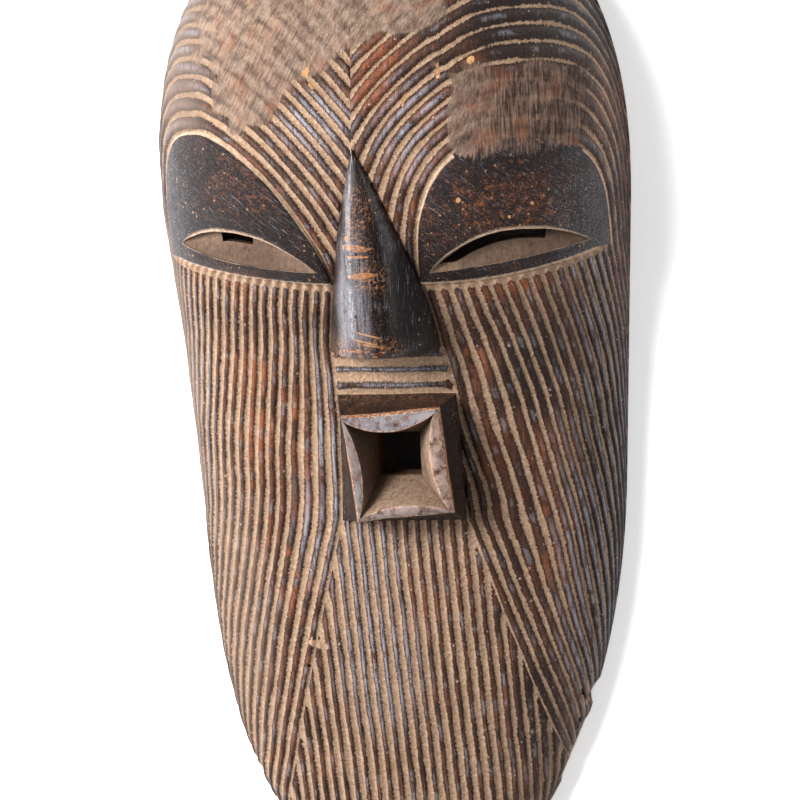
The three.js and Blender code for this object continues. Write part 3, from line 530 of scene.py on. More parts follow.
def cheek_top(name):
    """The row along the foot of the eye field, with its heights on the rug and its pitch."""
    field = FIELDS[name]
    t = np.linspace(0, 1, 401)
    foot_xy = field_foot(field, t)
    foot_s, _ = unroll(foot_xy[:, 0], foot_xy[:, 1])
    run = np.concatenate([[0], np.cumsum(np.abs(np.diff(foot_s)))])
    top_pitch = run[-1] / field["cheek_lines"]
    phase = column_phase(np.arange(field["cheek_lines"] * LINE_COLUMNS + 1))
    foot_t = np.interp(top_pitch * phase, run, t)
    foot_xy = field_foot(field, foot_t)
    foot = carve(on_face(foot_xy[:, 0], foot_xy[:, 1]), phase)
    foot[0] = flank_points[name][0]
    foot[-1] = sheets[name]["points"][-1, 0]
    return foot, length_at(foot_xy[:, 1]), top_pitch


print("rows down a cheek:", len(levels))

# %% [markdown]
# The other rows are laid out from the inner border. Line 0 starts there, and lines that begin beside the
# mouth push it further out. The border bends sharply at the nose's foot, and the lines away from it take that
# bend slowly, so they follow an average of the border. What would pass the rim ends on it.

# %% Rows of the cheeks
def cheek(name):
    field = FIELDS[name]
    side = field["side"]
    columns = field["cheek_lines"] * LINE_COLUMNS
    foot, foot_w, top_pitch = cheek_top(name)
    upper = sheets[name]["points"]
    sheets[name]["foot"] = foot

    def line_pitch(level):
        return mix(top_pitch, field["cheek_pitch"], ease(FIELD_INNER_Y, ROWS_LEVEL_Y, level))

    def start(level):
        """Where line 0 runs: on the inner border, further out by the lines that begin beside the mouth."""
        rim_x = side * float(middle(level)) + float(half_width(level))
        s0, _ = unroll(side * min(side * inner_edge(name, level), rim_x), level)
        begun = field["lines_from_mouth"] * float(ease(LIP_TOP_Y, MOUTH_FOOT_Y, level))
        return abs(float(s0[0])), begun

    def eased_start(level):
        """The same, averaged over a hand's width, for the lines away from the border."""
        window = min(26.0, FIELD_INNER_Y - level)
        near = [start(max(level + window * k, -HALF_LENGTH + 1)) for k in np.linspace(-1, 1, 9)]
        return float(np.mean([s + begun * float(line_pitch(level)) for s, begun in near]))

    spare = math.ceil(field["lines_from_mouth"]) * LINE_COLUMNS
    side_columns = math.ceil(sheets[name]["lines_at_rim"]) * LINE_COLUMNS
    beyond = np.minimum(np.arange(1, side_columns + 1), upper.shape[1] - 1)
    total = spare + columns + 1 + side_columns
    j = np.arange(total) - spare
    phases = column_phase(j)
    top = np.concatenate([np.repeat(foot[:1], spare, axis=0), foot, upper[-1, beyond]])
    top_w = np.concatenate([np.repeat(foot_w[:1], spare), foot_w, np.full(side_columns, foot_w[-1])])
    points, across, along = [top], [np.where(j < 0, 0, phases)], [np.zeros(total)]
    inner = []
    rest_rim = []
    for level in levels:
        tilt = float(ease(ROWS_LEVEL_Y, FIELD_INNER_Y, level))
        x = inner_edge(name, level)
        rim_x = abs(float(middle(level)) + side * float(half_width(level)))
        ended = side * x >= rim_x - 0.5
        s0, begun = start(level)
        w0 = float(length_at(level))
        pitch = float(line_pitch(level))
        side_pitch = mix(SIDE_PITCH, pitch, float(ease(FIELD_INNER_Y, 0, level)))
        rim = rim_point(side, y_at(w0 + tilt * (top_w[-1] - top_w[0])))
        rest_rim.append(rim)
        first = rim if ended else carve(on_face(x, level), 0.0)
        inner.append(first)
        w = w0 + tilt * (top_w - top_w[0])
        on_cheek = np.minimum(phases, field["cheek_lines"]) + begun
        swell = field["swell"] * float(between(*field["swell_at"], level))
        shift = (eased_start(level) - s0 - begun * pitch + swell) * ease(0, 4.5, phases)
        s = s0 + on_cheek * pitch + np.maximum(phases - field["cheek_lines"], 0) * side_pitch + shift
        row = carve(roll(side * s, w), phases)
        begins = on_cheek < PHASE_CLEARANCE
        limit = reach(y_at(w))
        runs_out = (s > limit - LINE_CLEARANCE) | ended
        row[begins] = first
        row[runs_out] = rim
        row[0] = first
        row[-1] = rim
        shown = np.where(begins, -begun, phases)
        rim_phase = (limit - s0 - shift) / pitch - begun
        shown = np.where(runs_out, np.minimum(phases, rim_phase), shown)
        points.append(row)
        across.append(shown)
        along.append(np.full(total, (len(points) - 1.0)))
    sheets[name]["inner"] = np.array(inner)
    rim_points[name] += rest_rim
    return dict(points=np.array(points), across=np.array(across), along=np.array(along))


cheeks = {name: cheek(name) for name in FIELDS}
print("cheek rows and columns:", [cheeks[n]["points"].shape[:2] for n in cheeks])

# %% [markdown]
# ## Chin
#
# The chin's lines hang straight down from the mouth box between the two seams. They are measured from the
# middle, and each row keeps only the columns that fall between its two seam points.

# %% Rows of the chin
CHIN_PITCH = 6.3
CHIN_SKEW = 0.033
CHIN_LINE_AT = 3.4
CHIN_LINES_EACH_WAY = 15


def chin_row(level, left, right):
    w = float(length_at(level))
    s_left = unroll(left[0], level)[0][0]
    s_right = unroll(right[0], level)[0][0]
    start = CHIN_LINE_AT + CHIN_SKEW * (MOUTH_FOOT_Y - level) - float(middle(level))
    j = np.arange(-CHIN_LINES_EACH_WAY * LINE_COLUMNS, CHIN_LINES_EACH_WAY * LINE_COLUMNS + 1)
    phase = column_phase(j)
    s = start + phase * CHIN_PITCH
    row = carve(roll(s, np.full(len(s), w)), phase)
    row[s < s_left + LINE_CLEARANCE] = left
    row[s > s_right - LINE_CLEARANCE] = right
    shown = np.clip(phase, (s_left - start) / CHIN_PITCH, (s_right - start) / CHIN_PITCH)
    return np.concatenate([[left], row, [right]]), np.concatenate([shown[:1], shown, shown[-1:]])


chin_rows = []
for k, level in enumerate(levels[MOUTH_FOOT_ROW:]):
    left, right = sheets["left"]["inner"][MOUTH_FOOT_ROW + k], sheets["right"]["inner"][MOUTH_FOOT_ROW + k]
    chin_rows.append(chin_row(level, left, right))
chin_tip = np.array([float(middle(-HALF_LENGTH)), -HALF_LENGTH, EDGE_ROUND])
chin_points = np.array([row for row, _ in chin_rows] + [np.repeat([chin_tip], len(chin_rows[0][0]), axis=0)])
chin_across = np.array([shown for _, shown in chin_rows] + [chin_rows[-1][1]])
chin_along = np.arange(len(chin_points))[:, None] + 0 * chin_across
chin = dict(points=chin_points, across=chin_across, along=chin_along)
print("chin rows and columns:", chin_points.shape[:2])

# %% [markdown]
# ## Nose and the ridges under it
#
# The nose is a long wedge with a rounded back. It is a grid from the left foot of the nose over its back to
# the right foot, one row for each row of the forehead and cheek it meets. Below it three level ridges are
# cut across, with the same columns, so the two sheets join point to point.

# %% Nose rows
NOSE_TOP = 114.0
NOSE_LIFT = 9.0
NOSE_SETTLE = 0.75
NOSE_SECTION_POWER = 2.4
NOSE_FLANK_POWER = 1.25
NOSE_TIP_DROP = 1.4
LIP_INSET = 1.6
nose_u = np.sin(np.linspace(-math.pi / 2, math.pi / 2, 27))


def nose_row(level, left, right):
    t = float(np.clip((NOSE_APEX_Y - level) / (NOSE_APEX_Y - NOSE_FOOT_Y), 0, 1))
    x = mix(nose_edge(-1, level), nose_edge(1, level), (nose_u + 1) / 2)
    rise = NOSE_TOP - float(crest(level)) + NOSE_LIFT * math.sqrt(t) * (1 - NOSE_SETTLE * t)
    rise -= NOSE_TIP_DROP * float(ease(46, NOSE_FOOT_Y, level))
    row = on_face(x, np.full(len(x), level))
    row[:, 2] += rise * np.maximum(1 - np.abs(nose_u) ** NOSE_SECTION_POWER, 0) ** (1 / NOSE_FLANK_POWER)
    row[0], row[-1] = left, right
    return row


def lip_row(k):
    level = float(lip_y[k])
    row_at = len(nose_side_y) + k
    x0 = inner_edge("left", level) + LIP_INSET
    x1 = inner_edge("right", level) - LIP_INSET
    x = mix(x0, x1, np.linspace(0, 1, len(nose_u) - 2))
    middle_part = carve(on_face(x, np.full(len(x), level)), lip_phases[k])
    left, right = sheets["left"]["inner"][row_at], sheets["right"]["inner"][row_at]
    return np.concatenate([[left], middle_part, [right]])


nose_rows = [np.repeat([nose_apex], len(nose_u), axis=0)]
for k in range(FLANK_ROWS - 1, -1, -1):
    nose_rows.append(nose_row(float(flank_y[k]), flank_points["left"][k], flank_points["right"][k]))
for k, level in enumerate(nose_side_y):
    nose_rows.append(nose_row(float(level), sheets["left"]["inner"][k], sheets["right"]["inner"][k]))
lip_rows = [lip_row(k) for k in range(len(lip_y))]
NOSE_TIP_ROUND = 2.6
tip, under = nose_rows[-1], lip_rows[0]
for share in np.linspace(0, 1, 9)[1:-1]:
    step = mix(tip, under, share)
    turned = math.sin(share * math.pi)
    step[1:-1, 1] -= NOSE_TIP_ROUND * turned
    step[0], step[-1] = tip[0], tip[-1]
    nose_rows.append(step)
nose_rows.append(under)
nose_points = np.array(nose_rows)
lip_points = np.array(lip_rows)
print("nose rows:", len(nose_rows), "rows of the ridges under it:", len(lip_rows))

# %% [markdown]
# ## Mouth
#
# The mouth is a square box that stands out of the face. Four leaf-shaped lips face forward, and a funnel
# narrows to a square hole right through the wood. It is a nest of rings: the first is the foot of the box on
# the face, the last is the edge of the hole inside.

# %% Mouth rings
MOUTH_FRONT = [(-18.2, 4.4), (33.3, 8.7), (38.1, -46.1), (-12.1, -51.4)]
MOUTH_FRONT_Z = 91.5
MOUTH_FRONT_TILT = 0.06
MOUTH_HOLE_CENTRE = np.array([6.6, -19.4])
MOUTH_HOLE_HALF = 11.5
MOUTH_HOLE_Z = 66.0
LIP_WIDTHS = np.array([8.0, 6.2, 5.0, 5.4])
STRAIGHT = np.zeros(4)
LIP_BEVEL = 2.5
LIP_SWELL = 1.1


def distinct(points):
    keep = np.ones(len(points), bool)
    keep[1:] = np.linalg.norm(np.diff(points, axis=0), axis=1) > 1e-6
    return points[keep]


inner_left = sheets["left"]["inner"][MOUTH_TOP_ROW : MOUTH_FOOT_ROW + 1]
inner_right = sheets["right"]["inner"][MOUTH_TOP_ROW : MOUTH_FOOT_ROW + 1]
mouth_sides = [lip_points[-1], inner_right, distinct(chin_points[0])[::-1], inner_left[::-1]]
mouth_foot = np.concatenate([side[:-1] for side in mouth_sides])
mouth_at = []
for k, side in enumerate(mouth_sides):
    mouth_at.append(k + np.arange(len(side) - 1) / (len(side) - 1))
mouth_at = np.concatenate(mouth_at)


def box_ring(corners, bows, height):
    """Ring round four corners, one point for each point of the box's foot, each side bowed inwards."""
    corners = np.array(corners, float)
    k = np.floor(mouth_at).astype(int)
    t = mouth_at - k
    a, b = corners[k], corners[(k + 1) % 4]
    along = (b - a) / np.linalg.norm(b - a, axis=1, keepdims=True)
    inward = np.stack([along[:, 1], -along[:, 0]], axis=1)
    xy = a + (b - a) * t[:, None] + inward * (bows[k] * np.sin(np.pi * t) ** 0.8)[:, None]
    return np.column_stack([xy, height(xy)])


def front_z(xy):
    return MOUTH_FRONT_Z + MOUTH_FRONT_TILT * (xy[:, 1] - MOUTH_HOLE_CENTRE[1])


front = np.array(MOUTH_FRONT, float)
inner_corners = mix(front, MOUTH_HOLE_CENTRE, 0.05)
hole_corners = MOUTH_HOLE_CENTRE + MOUTH_HOLE_HALF * np.array([(-1, 1), (1, 1), (1, -1), (-1, -1)])
outer_lip = box_ring(front, STRAIGHT, lambda xy: front_z(xy) - LIP_BEVEL)
inner_lip = box_ring(inner_corners, LIP_WIDTHS, front_z)
hole_ring = box_ring(hole_corners, STRAIGHT, lambda xy: np.full(len(xy), MOUTH_HOLE_Z))
leaf = np.sin(np.pi * (mouth_at % 1.0))[:, None]
mouth_rings = [mouth_foot]
WALL_SHARES = (0, 0.12, 0.26, 0.42, 0.6, 0.78, 0.92, 1)
LEAF_SHARES = (0, 0.06, 0.2, 0.4, 0.6, 0.8, 0.94, 1)
for share in WALL_SHARES[1:-1]:
    ring = mix(mouth_foot, outer_lip, share)
    ring[:, :2] = mix(mouth_foot, outer_lip, share**0.8)[:, :2]
    mouth_rings.append(ring)
mouth_rings.append(outer_lip)
for share in LEAF_SHARES[1:-1]:
    ring = mix(outer_lip, inner_lip, share)
    ring[:, 2:] += LIP_SWELL * math.sin(math.pi * share) ** 0.7 * (0.25 + 0.75 * leaf)
    mouth_rings.append(ring)
mouth_rings.append(inner_lip)
LIP_RINGS = len(mouth_rings)
for share in (0.04, 0.15, 0.3, 0.45, 0.6, 0.75, 0.9):
    mouth_rings.append(mix(inner_lip, hole_ring, share))
mouth_rings.append(hole_ring)
print("mouth rings:", len(mouth_rings), "of", len(mouth_foot), "points")

# %% [markdown]
# ## Eye fields
#
# Each eye field is a smooth swelling with an almond recess. The lower lid slopes up out of a floor that dives
# under the upper lid, where a slit goes through to the inside. Rings run from the field's border to the lid;
# the floor is a grid across the almond, and it stops short of the lid where the slit is.

# %% Sizes of the eyes and the lid's line
EYES = {
    "left": dict(
        outer=(-102, 95.5), inner=(-25.5, 82), arch=14.5, droop=3,
        slit=(-76.5, -59), slit_height=5.6, slit_ends=(1.2, 1.2),
    ),
    "right": dict(
        outer=(111, 91.5), inner=(34, 80.5), arch=15, droop=1.5,
        slit=(49, 90.5), slit_height=5.6, slit_ends=(12, 1.2),
    ),
}
FIELD_SWELL = 2.2
LID_SWELL = 4.2
RECESS_DEPTH = 9.0
FLOOR_ROWS = 12
FIELD_SHARES = (0.03, 0.08, 0.16, 0.28, 0.42, 0.56, 0.7, 0.82, 0.92, 0.975, 1.0)
LID_RING = len(FIELD_SHARES)


def lid_ring(eye, count, scale, lower):
    """x, y of the lid's edge: the upper arch, or the lower one, from the outer corner to the inner."""
    u = np.linspace(0, 1, count)
    x = mix(eye["outer"][0], eye["inner"][0], u)
    chord = mix(eye["outer"][1], eye["inner"][1], u)
    bend = -eye["droop"] if lower else eye["arch"]
    y = chord + bend * np.sin(np.pi * u) ** 0.75
    centre = mix(np.array(eye["outer"], float), np.array(eye["inner"], float), 0.5)
    centre[1] += eye["arch"] * 0.35
    return mix(centre, np.stack([x, y], -1), scale), u


print("slits:", [round(abs(eye["slit"][1] - eye["slit"][0]), 1) for eye in EYES.values()], "mm wide")

# %% [markdown]
# The rings of an eye blend from the field's border to the lid, then turn over its edge and drop into the
# recess. The swelling is highest at the upper lid. The floor stands off the lid by the slit's height.

# %% Rings and floor of an eye
def eye_patches(name):
    field, eye = FIELDS[name], EYES[name]
    upper_border = sheets[name]["points"][::-1, 0]
    lower_border = sheets[name]["foot"]
    n = len(upper_border)
    loop = np.concatenate([upper_border[:-1], lower_border])
    # spread the ring's places by how far the border runs, so that the rings stay even
    over, _ = lid_ring(eye, n, 1.0, False)
    below, u = lid_ring(eye, n, 1.0, True)
    lid = np.concatenate([over[:-1], below[::-1]])
    rise = np.concatenate([np.ones(n - 1), np.zeros(n)])
    bend = np.concatenate([np.sin(np.pi * u[:-1]), np.sin(np.pi * u[::-1])])
    rings = [loop]
    for share in FIELD_SHARES:
        xy = mix(loop[:, :2], lid, share)
        lid_lift = (LID_SWELL - FIELD_SWELL) * rise * bend**0.5 * float(ease(0.5, 1, share))
        swell = FIELD_SWELL * (1 - (1 - share) ** 4) + lid_lift
        sunk = GROOVE_DEPTH * (1 - float(ease(0, 0.09, share)))
        rings.append(np.column_stack([xy, face_height(xy[:, 0], xy[:, 1]) + swell - sunk]))
    well_over, _ = lid_ring(eye, n, 0.96, False)
    well_below, _ = lid_ring(eye, n, 0.96, True)
    well = np.concatenate([well_over[:-1], well_below[::-1]])
    drop = np.where(rise > 0, RECESS_DEPTH * bend**0.6, 1.0)
    well_points = np.column_stack([well, face_height(well[:, 0], well[:, 1]) + FIELD_SWELL - drop])
    well_points[-1] = well_points[0]
    for share in (0.12, 0.4, 0.7):
        rings.append(mix(rings[LID_RING], well_points, share))
    rings.append(well_points)
    # floor of the almond
    a = well_points[:n]
    b = well_points[n - 1 :][::-1]
    x = a[:, 0]
    low, high = sorted(eye["slit"])
    start, end = eye["slit_ends"]
    gap = eye["slit_height"] * ease(low - start, low, x) * (1 - ease(high, high + end, x))
    room = np.maximum(np.abs(b[:, 1] - a[:, 1]), 1e-6)
    gap_share = np.clip(gap / room, 0, 0.8)
    edge = mix(a, b, gap_share[:, None])
    floor = np.array([mix(edge, b, t) for t in np.linspace(0, 1, FLOOR_ROWS)])
    open_at = np.where(gap_share > 0)[0]
    first, last = open_at[0] - 1, open_at[-1] + 1
    slit = np.concatenate([a[first : last + 1], edge[first + 1 : last][::-1]])
    return dict(rings=np.array(rings), floor=floor, slit=slit)


eyes = {name: eye_patches(name) for name in EYES}
print("points round each eye field:", [eyes[n]["rings"].shape[:2] for n in eyes])

# %% [markdown]
# ## The hollow
#
# Behind, the wood is adzed out to a wall about 12 mm thick, so the inside is the same egg a wall smaller. Its
# wall is a set of rings that rise from the flat rim. The roof of the hollow is triangulated in plan between
# the last ring and the edges of the three holes, because a grid of rows could not meet those holes.

# %% Rim, inner wall and holes
WALL = 12.0
CROWN_WALL = 15.0
HOLLOW_LENGTH_SHARE = (HALF_LENGTH - CROWN_WALL) / HALF_LENGTH
HOLLOW_WIDTH_SHARE = (HALF_WIDTH - WALL) / HALF_WIDTH
INNER_WALL_Q = [1.0, 0.9995, 0.997, 0.99, 0.975, 0.95, 0.91, 0.86]


def hollow_size(y):
    grown = np.clip(y / HOLLOW_LENGTH_SHARE, -HALF_LENGTH, HALF_LENGTH)
    wide = half_width(grown) * HOLLOW_WIDTH_SHARE
    high = crest(grown) * (1 - WALL / smooth_curve(CREST, grown))
    return middle(grown), wide, high


def hollow_height(x, y):
    centre, wide, high = hollow_size(y)
    q = np.clip(np.abs(x - centre) / np.maximum(wide, 1e-6), 0, 1)
    return high * (1 - q**ACROSS_POWER) ** (1 / RISE_POWER)


def hollow_ring(outline, sides, q):
    y = outline[:, 1] * HOLLOW_LENGTH_SHARE
    centre, wide, _ = hollow_size(y)
    x = centre + sides * wide * q
    return np.column_stack([x, y, hollow_height(x, y) if q < 1 else np.zeros(len(y))])


right_rim = np.array(rim_points["right"])
left_rim = np.array(rim_points["left"])[::-1]
outline = np.concatenate([[crown_tip], right_rim, [chin_tip], left_rim])
sides = np.concatenate([[0], np.ones(len(right_rim)), [0], -np.ones(len(left_rim))])
inward = hollow_ring(outline, sides, 1.0) - outline
inward /= np.linalg.norm(inward[:, :2], axis=1, keepdims=True)
band = [outline]
for inset, z in ((0.22, 0.25), (0.8, 0.0), (3.0, 0.0)):
    ring = outline + inward * inset
    ring[:, 2] = z
    band.append(ring)
hollow_edge = hollow_ring(outline, sides, 1.0)
for share in (0.5, 1.0):
    ring = mix(band[3], hollow_edge, share)
    ring[:, 2] = 0.0
    band.append(ring)
inner_wall = [hollow_edge] + [hollow_ring(outline, sides, q) for q in INNER_WALL_Q[1:]]
rim_band = np.array([np.concatenate([ring, ring[:1]]) for ring in band])
inner_wall = np.array([np.concatenate([ring, ring[:1]]) for ring in inner_wall])

hole_loops = {"mouth": mouth_rings[-1]}
for name in EYES:
    hole_loops[name] = eyes[name]["slit"]
tubes = {}
for name, loop in hole_loops.items():
    foot = loop.copy()
    foot[:, 2] = hollow_height(loop[:, 0], loop[:, 1])
    rings = [mix(loop, foot, share) for share in (0, 0.3, 0.65, 1.0)]
    tubes[name] = np.array([np.concatenate([ring, ring[:1]]) for ring in rings])
print("outline points:", len(outline), "hole edges:", {k: len(v) for k, v in hole_loops.items()})

# %% [markdown]
# ## Putting the sheets into one mesh
#
# Each sheet starts as Blender's own flat grid and is then moved onto the face, row by row and column by
# column. Its UV map holds the phase across the lines and the distance along them, for the finish to read.
# At the end the doubled points along shared borders are merged, which leaves one closed skin.

# %% Sheets to mesh
MATERIAL_ORDER = ["ridged_wood", "eye_field", "nose_wood", "lip_wood", "clay_floor", "inner_wood"]
mask_mesh = bpy.data.meshes.new("carved_mask")
skin = bmesh.new()
lines_uv = skin.loops.layers.uv.new("lines")


def lay_sheet(points, material, across=None, along=None):
    points = np.asarray(points)
    rows, columns = points.shape[:2]
    made = bmesh.ops.create_grid(skin, x_segments=columns - 1, y_segments=rows - 1, size=1.0)
    place = {}
    for vert in made["verts"]:
        c = round((vert.co.x + 1) / 2 * (columns - 1))
        r = round((vert.co.y + 1) / 2 * (rows - 1))
        place[vert] = (r, c)
    for vert, (r, c) in place.items():
        vert.co = points[r, c] * MM
    faces = {face for vert in made["verts"] for face in vert.link_faces}
    for face in faces:
        face.material_index = MATERIAL_ORDER.index(material)
        face.smooth = True
        if across is not None:
            for loop in face.loops:
                r, c = place[loop.vert]
                loop[lines_uv].uv = (across[r, c], along[r, c])
    return len(faces)


def closed(ring):
    return np.concatenate([ring, ring[:1]])


laid = 0
for name in FIELDS:
    for sheet in (forehead[name], cheeks[name]):
        laid += lay_sheet(sheet["points"], "ridged_wood", sheet["across"], sheet["along"])
    field_rings = np.array([closed(ring[:-1]) for ring in eyes[name]["rings"][: LID_RING + 1]])
    from_border = np.linalg.norm(field_rings - field_rings[0], axis=2) / FIELDS[name]["cheek_pitch"]
    to_lid = np.array((0,) + FIELD_SHARES)[:, None] + 0 * from_border
    laid += lay_sheet(field_rings, "eye_field", from_border, to_lid)
    laid += lay_sheet([closed(ring[:-1]) for ring in eyes[name]["rings"][LID_RING:]], "clay_floor")
    laid += lay_sheet(eyes[name]["floor"], "clay_floor")
laid += lay_sheet(chin["points"], "ridged_wood", chin["across"], chin["along"])
laid += lay_sheet(nose_points, "nose_wood")
lip_across = np.repeat(lip_phases[:, None], lip_points.shape[1], axis=1)
lip_across[:, 0] = lip_across[:, -1] = np.round(lip_across[:, 0])
lip_along = np.repeat(np.arange(lip_points.shape[1])[None, :] * 1.0, len(lip_points), axis=0)
laid += lay_sheet(lip_points, "ridged_wood", lip_across, lip_along)
round_mouth = np.append(mouth_at, 4.0)[None, :]
wall_across = (np.array(WALL_SHARES) - 1)[:, None] + 0 * round_mouth
leaf_across = np.array(LEAF_SHARES)[:, None] + 0 * round_mouth
wall_rings = [closed(ring) for ring in mouth_rings[: len(WALL_SHARES)]]
leaf_rings = [closed(ring) for ring in mouth_rings[len(WALL_SHARES) - 1 : LIP_RINGS]]
funnel_rings = [closed(ring) for ring in mouth_rings[LIP_RINGS - 1 :]]
laid += lay_sheet(wall_rings, "lip_wood", wall_across, round_mouth + 0 * wall_across)
laid += lay_sheet(leaf_rings, "lip_wood", leaf_across, round_mouth + 0 * leaf_across)
laid += lay_sheet(funnel_rings, "clay_floor")
laid += lay_sheet(rim_band, "inner_wood")
laid += lay_sheet(inner_wall, "inner_wood")
for tube in tubes.values():
    laid += lay_sheet(tube, "inner_wood")
print("faces laid:", laid)

# %% [markdown]
# ## Roof of the hollow
#
# The roof has to meet the ring of the inner wall and the edges of three holes, which no grid can do. So it
# is triangulated in plan: rows of spots are laid over it, those in or near a hole are left out, and the
# triangles that fall into a hole are thrown away. The height of each spot comes from the smaller egg.

# %% Spots of the roof
ROOF_PITCH = 6.0
SAME_SPOT = 1e-5
SMALLEST_HOLE_FACE = 0.3


def inside(loop, xy):
    """Which points lie inside a closed loop, seen in plan."""
    x, y = xy[:, 0], xy[:, 1]
    found = np.zeros(len(xy), bool)
    for (ax, ay), (bx, by) in zip(loop, np.roll(loop, -1, axis=0)):
        if ay != by:
            found ^= ((ay > y) != (by > y)) & (x < ax + (y - ay) * (bx - ax) / (by - ay))
    return found


roof_edge = distinct(inner_wall[-1][:-1])
loops = [roof_edge[:, :2]] + [distinct(tube[-1][:-1])[:, :2] for tube in tubes.values()]
y_rows = y_at(np.arange(ROOF_PITCH, LENGTH_W[-1], ROOF_PITCH)) * HOLLOW_LENGTH_SHARE
spots = []
for k, y in enumerate(y_rows):
    centre, wide, _ = hollow_size(y)
    most = float(wide) * INNER_WALL_Q[-1] - ROOF_PITCH * 0.6
    if most <= 0:
        continue
    count = max(int(2 * most / ROOF_PITCH), 1)
    stagger = (0.25 if k % 2 else -0.25) * ROOF_PITCH * (count > 2)
    x = float(centre) + np.linspace(-most, most, count) + stagger
    spots.append(np.column_stack([x, np.full(count, y)]))
spots = np.concatenate(spots)
for loop in loops[1:]:
    near = np.min(np.linalg.norm(spots[:, None] - loop[None], axis=2), axis=1) < ROOF_PITCH * 0.35
    spots = spots[~(near | inside(loop, spots))]
spots = spots[inside(loops[0], spots)]
print("spots on the roof:", len(spots), "edges to meet:", len(loops))

# %% [markdown]
# The triangulation fills everything inside the outer ring, holes too. Faces are thrown away by flooding: it
# starts from those that lie in a hole or outside, and spreads over every edge that isn't fixed.

# %% Triangles of the roof
plan = np.concatenate(loops + [spots])
edges = []
start = 0
for loop in loops:
    edges += [(start + i, start + (i + 1) % len(loop)) for i in range(len(loop))]
    start += len(loop)
result = geometry.delaunay_2d_cdt([Vector(p) for p in plan], edges, [], 0, SAME_SPOT)
roof_xy = np.array([tuple(v) for v in result[0]])
faces = [tuple(face) for face in result[2]]
corners = roof_xy[np.array(faces)]
centres = corners.mean(axis=1)
side_a, side_b = corners[:, 1] - corners[:, 0], corners[:, 2] - corners[:, 0]
areas = 0.5 * np.abs(side_a[:, 0] * side_b[:, 1] - side_a[:, 1] * side_b[:, 0])
fixed = {frozenset(edge) for edge, origin in zip(result[1], result[4]) if origin}
beside = {}
for i, face in enumerate(faces):
    for a, b in zip(face, face[1:] + face[:1]):
        beside.setdefault(frozenset((a, b)), []).append(i)
outside = {users[0] for edge, users in beside.items() if len(users) == 1 and edge not in fixed}
for loop in loops[1:]:
    outside |= set(np.where(inside(loop, centres) & (areas > SMALLEST_HOLE_FACE))[0].tolist())
queue = list(outside)
while queue:
    face = faces[queue.pop()]
    for a, b in zip(face, face[1:] + face[:1]):
        edge = frozenset((a, b))
        for other in beside[edge]:
            if edge not in fixed and other not in outside:
                outside.add(other)
                queue.append(other)
roof_z = hollow_height(roof_xy[:, 0], roof_xy[:, 1])
roof_verts = [skin.verts.new(Vector((x, y, z)) * MM) for (x, y), z in zip(roof_xy, roof_z)]
for i, face in enumerate(faces):
    if i not in outside:
        made = skin.faces.new([roof_verts[k] for k in face])
        made.material_index = MATERIAL_ORDER.index("inner_wood")
        made.smooth = True
print("triangles of the roof:", len(faces) - len(outside))

# %% [markdown]
# Now all the sheets lie edge to edge with doubled points. Merging those closes the skin. Every edge should
# then lie between exactly two faces.

# %% Close the skin
MERGE_WITHIN = 2e-6
SMALLEST_EDGE = 1e-7
loose = [v for v in roof_verts if not v.link_faces]
bmesh.ops.delete(skin, geom=loose, context="VERTS")
bmesh.ops.remove_doubles(skin, verts=skin.verts, dist=MERGE_WITHIN)
bmesh.ops.dissolve_degenerate(skin, dist=SMALLEST_EDGE, edges=skin.edges)
bmesh.ops.recalc_face_normals(skin, faces=skin.faces)
open_edges = sum(1 for e in skin.edges if len(e.link_faces) != 2)
print("faces:", len(skin.faces), "edges not between two faces:", open_edges)

# %% [markdown]
# ## The carver's hand and the chips
#
# Cut by rule, the lines are too even. A slow wander moves every point a fraction of a millimetre sideways
# and in depth. Then the broken places on the lower edge are made as real breaks are: everything beyond a
# slanting plane is pushed back onto it.

# %% Wander and breaks
WANDER = 0.45
WANDER_SCALE = 1 / 26.0
WANDER_FROM = [Vector((0, 0, 0)), Vector((31, 17, 5)), Vector((7, 43, 23))]
DENT = 0.28
DENT_SCALE = 1 / 7.0
# breaks in the lower edge: x, y, length along the edge, height up the wall and depth, in mm
CHIPS = [
    (-86, -205, 13, 26, 4.5),
    (-76, -228, 11, 20, 4),
    (-98, -176, 6, 12, 2.5),
    (95, -164, 9, 16, 4),
    (88, -198, 36, 60, 2.8),
]
FLAT_RIM = 1.5
DENT_FROM = Vector((7, 3, 1))


broken = skin.verts.layers.float.new("broken")
for vert in skin.verts:
    here = vert.co / MM
    if here.z > FLAT_RIM:
        push = Vector([noise.noise(here * WANDER_SCALE + start) for start in WANDER_FROM]) * WANDER
        dent = noise.noise(here * DENT_SCALE + DENT_FROM) * DENT
        fade = float(ease(FLAT_RIM, 8.0, here.z))
        vert.co += (push + vert.normal * dent) * fade * MM
for x, y, along, high, deep in CHIPS:
    side = 1 if x > float(middle(y)) else -1
    slope = float(half_width(y + 1) - half_width(y - 1)) / 2
    edge = float(middle(y)) + side * float(half_width(y))
    low_end = np.array([edge - side * (deep + slope * along / 2), y - along / 2])
    high_end = np.array([edge - side * (deep / 3 - slope * along / 2), y + along / 2])
    for vert in skin.verts:
        here = vert.co / MM
        if abs(here.y - y) < along / 2 and here.z < high and side * here.x > 0:
            t = (here.y - low_end[1]) / along
            limit = float(mix(low_end[0], high_end[0], t)) + side * 0.5 * noise.noise(here / 3.0)
            if side * (here.x - limit) > 0:
                vert.co.x = limit * MM
                vert[broken] = 1.0
skin.to_mesh(mask_mesh)
skin.free()
triangles = sum(len(f.vertices) - 2 for f in mask_mesh.polygons)
print("mask:", len(mask_mesh.vertices), "points,", triangles, "triangles")
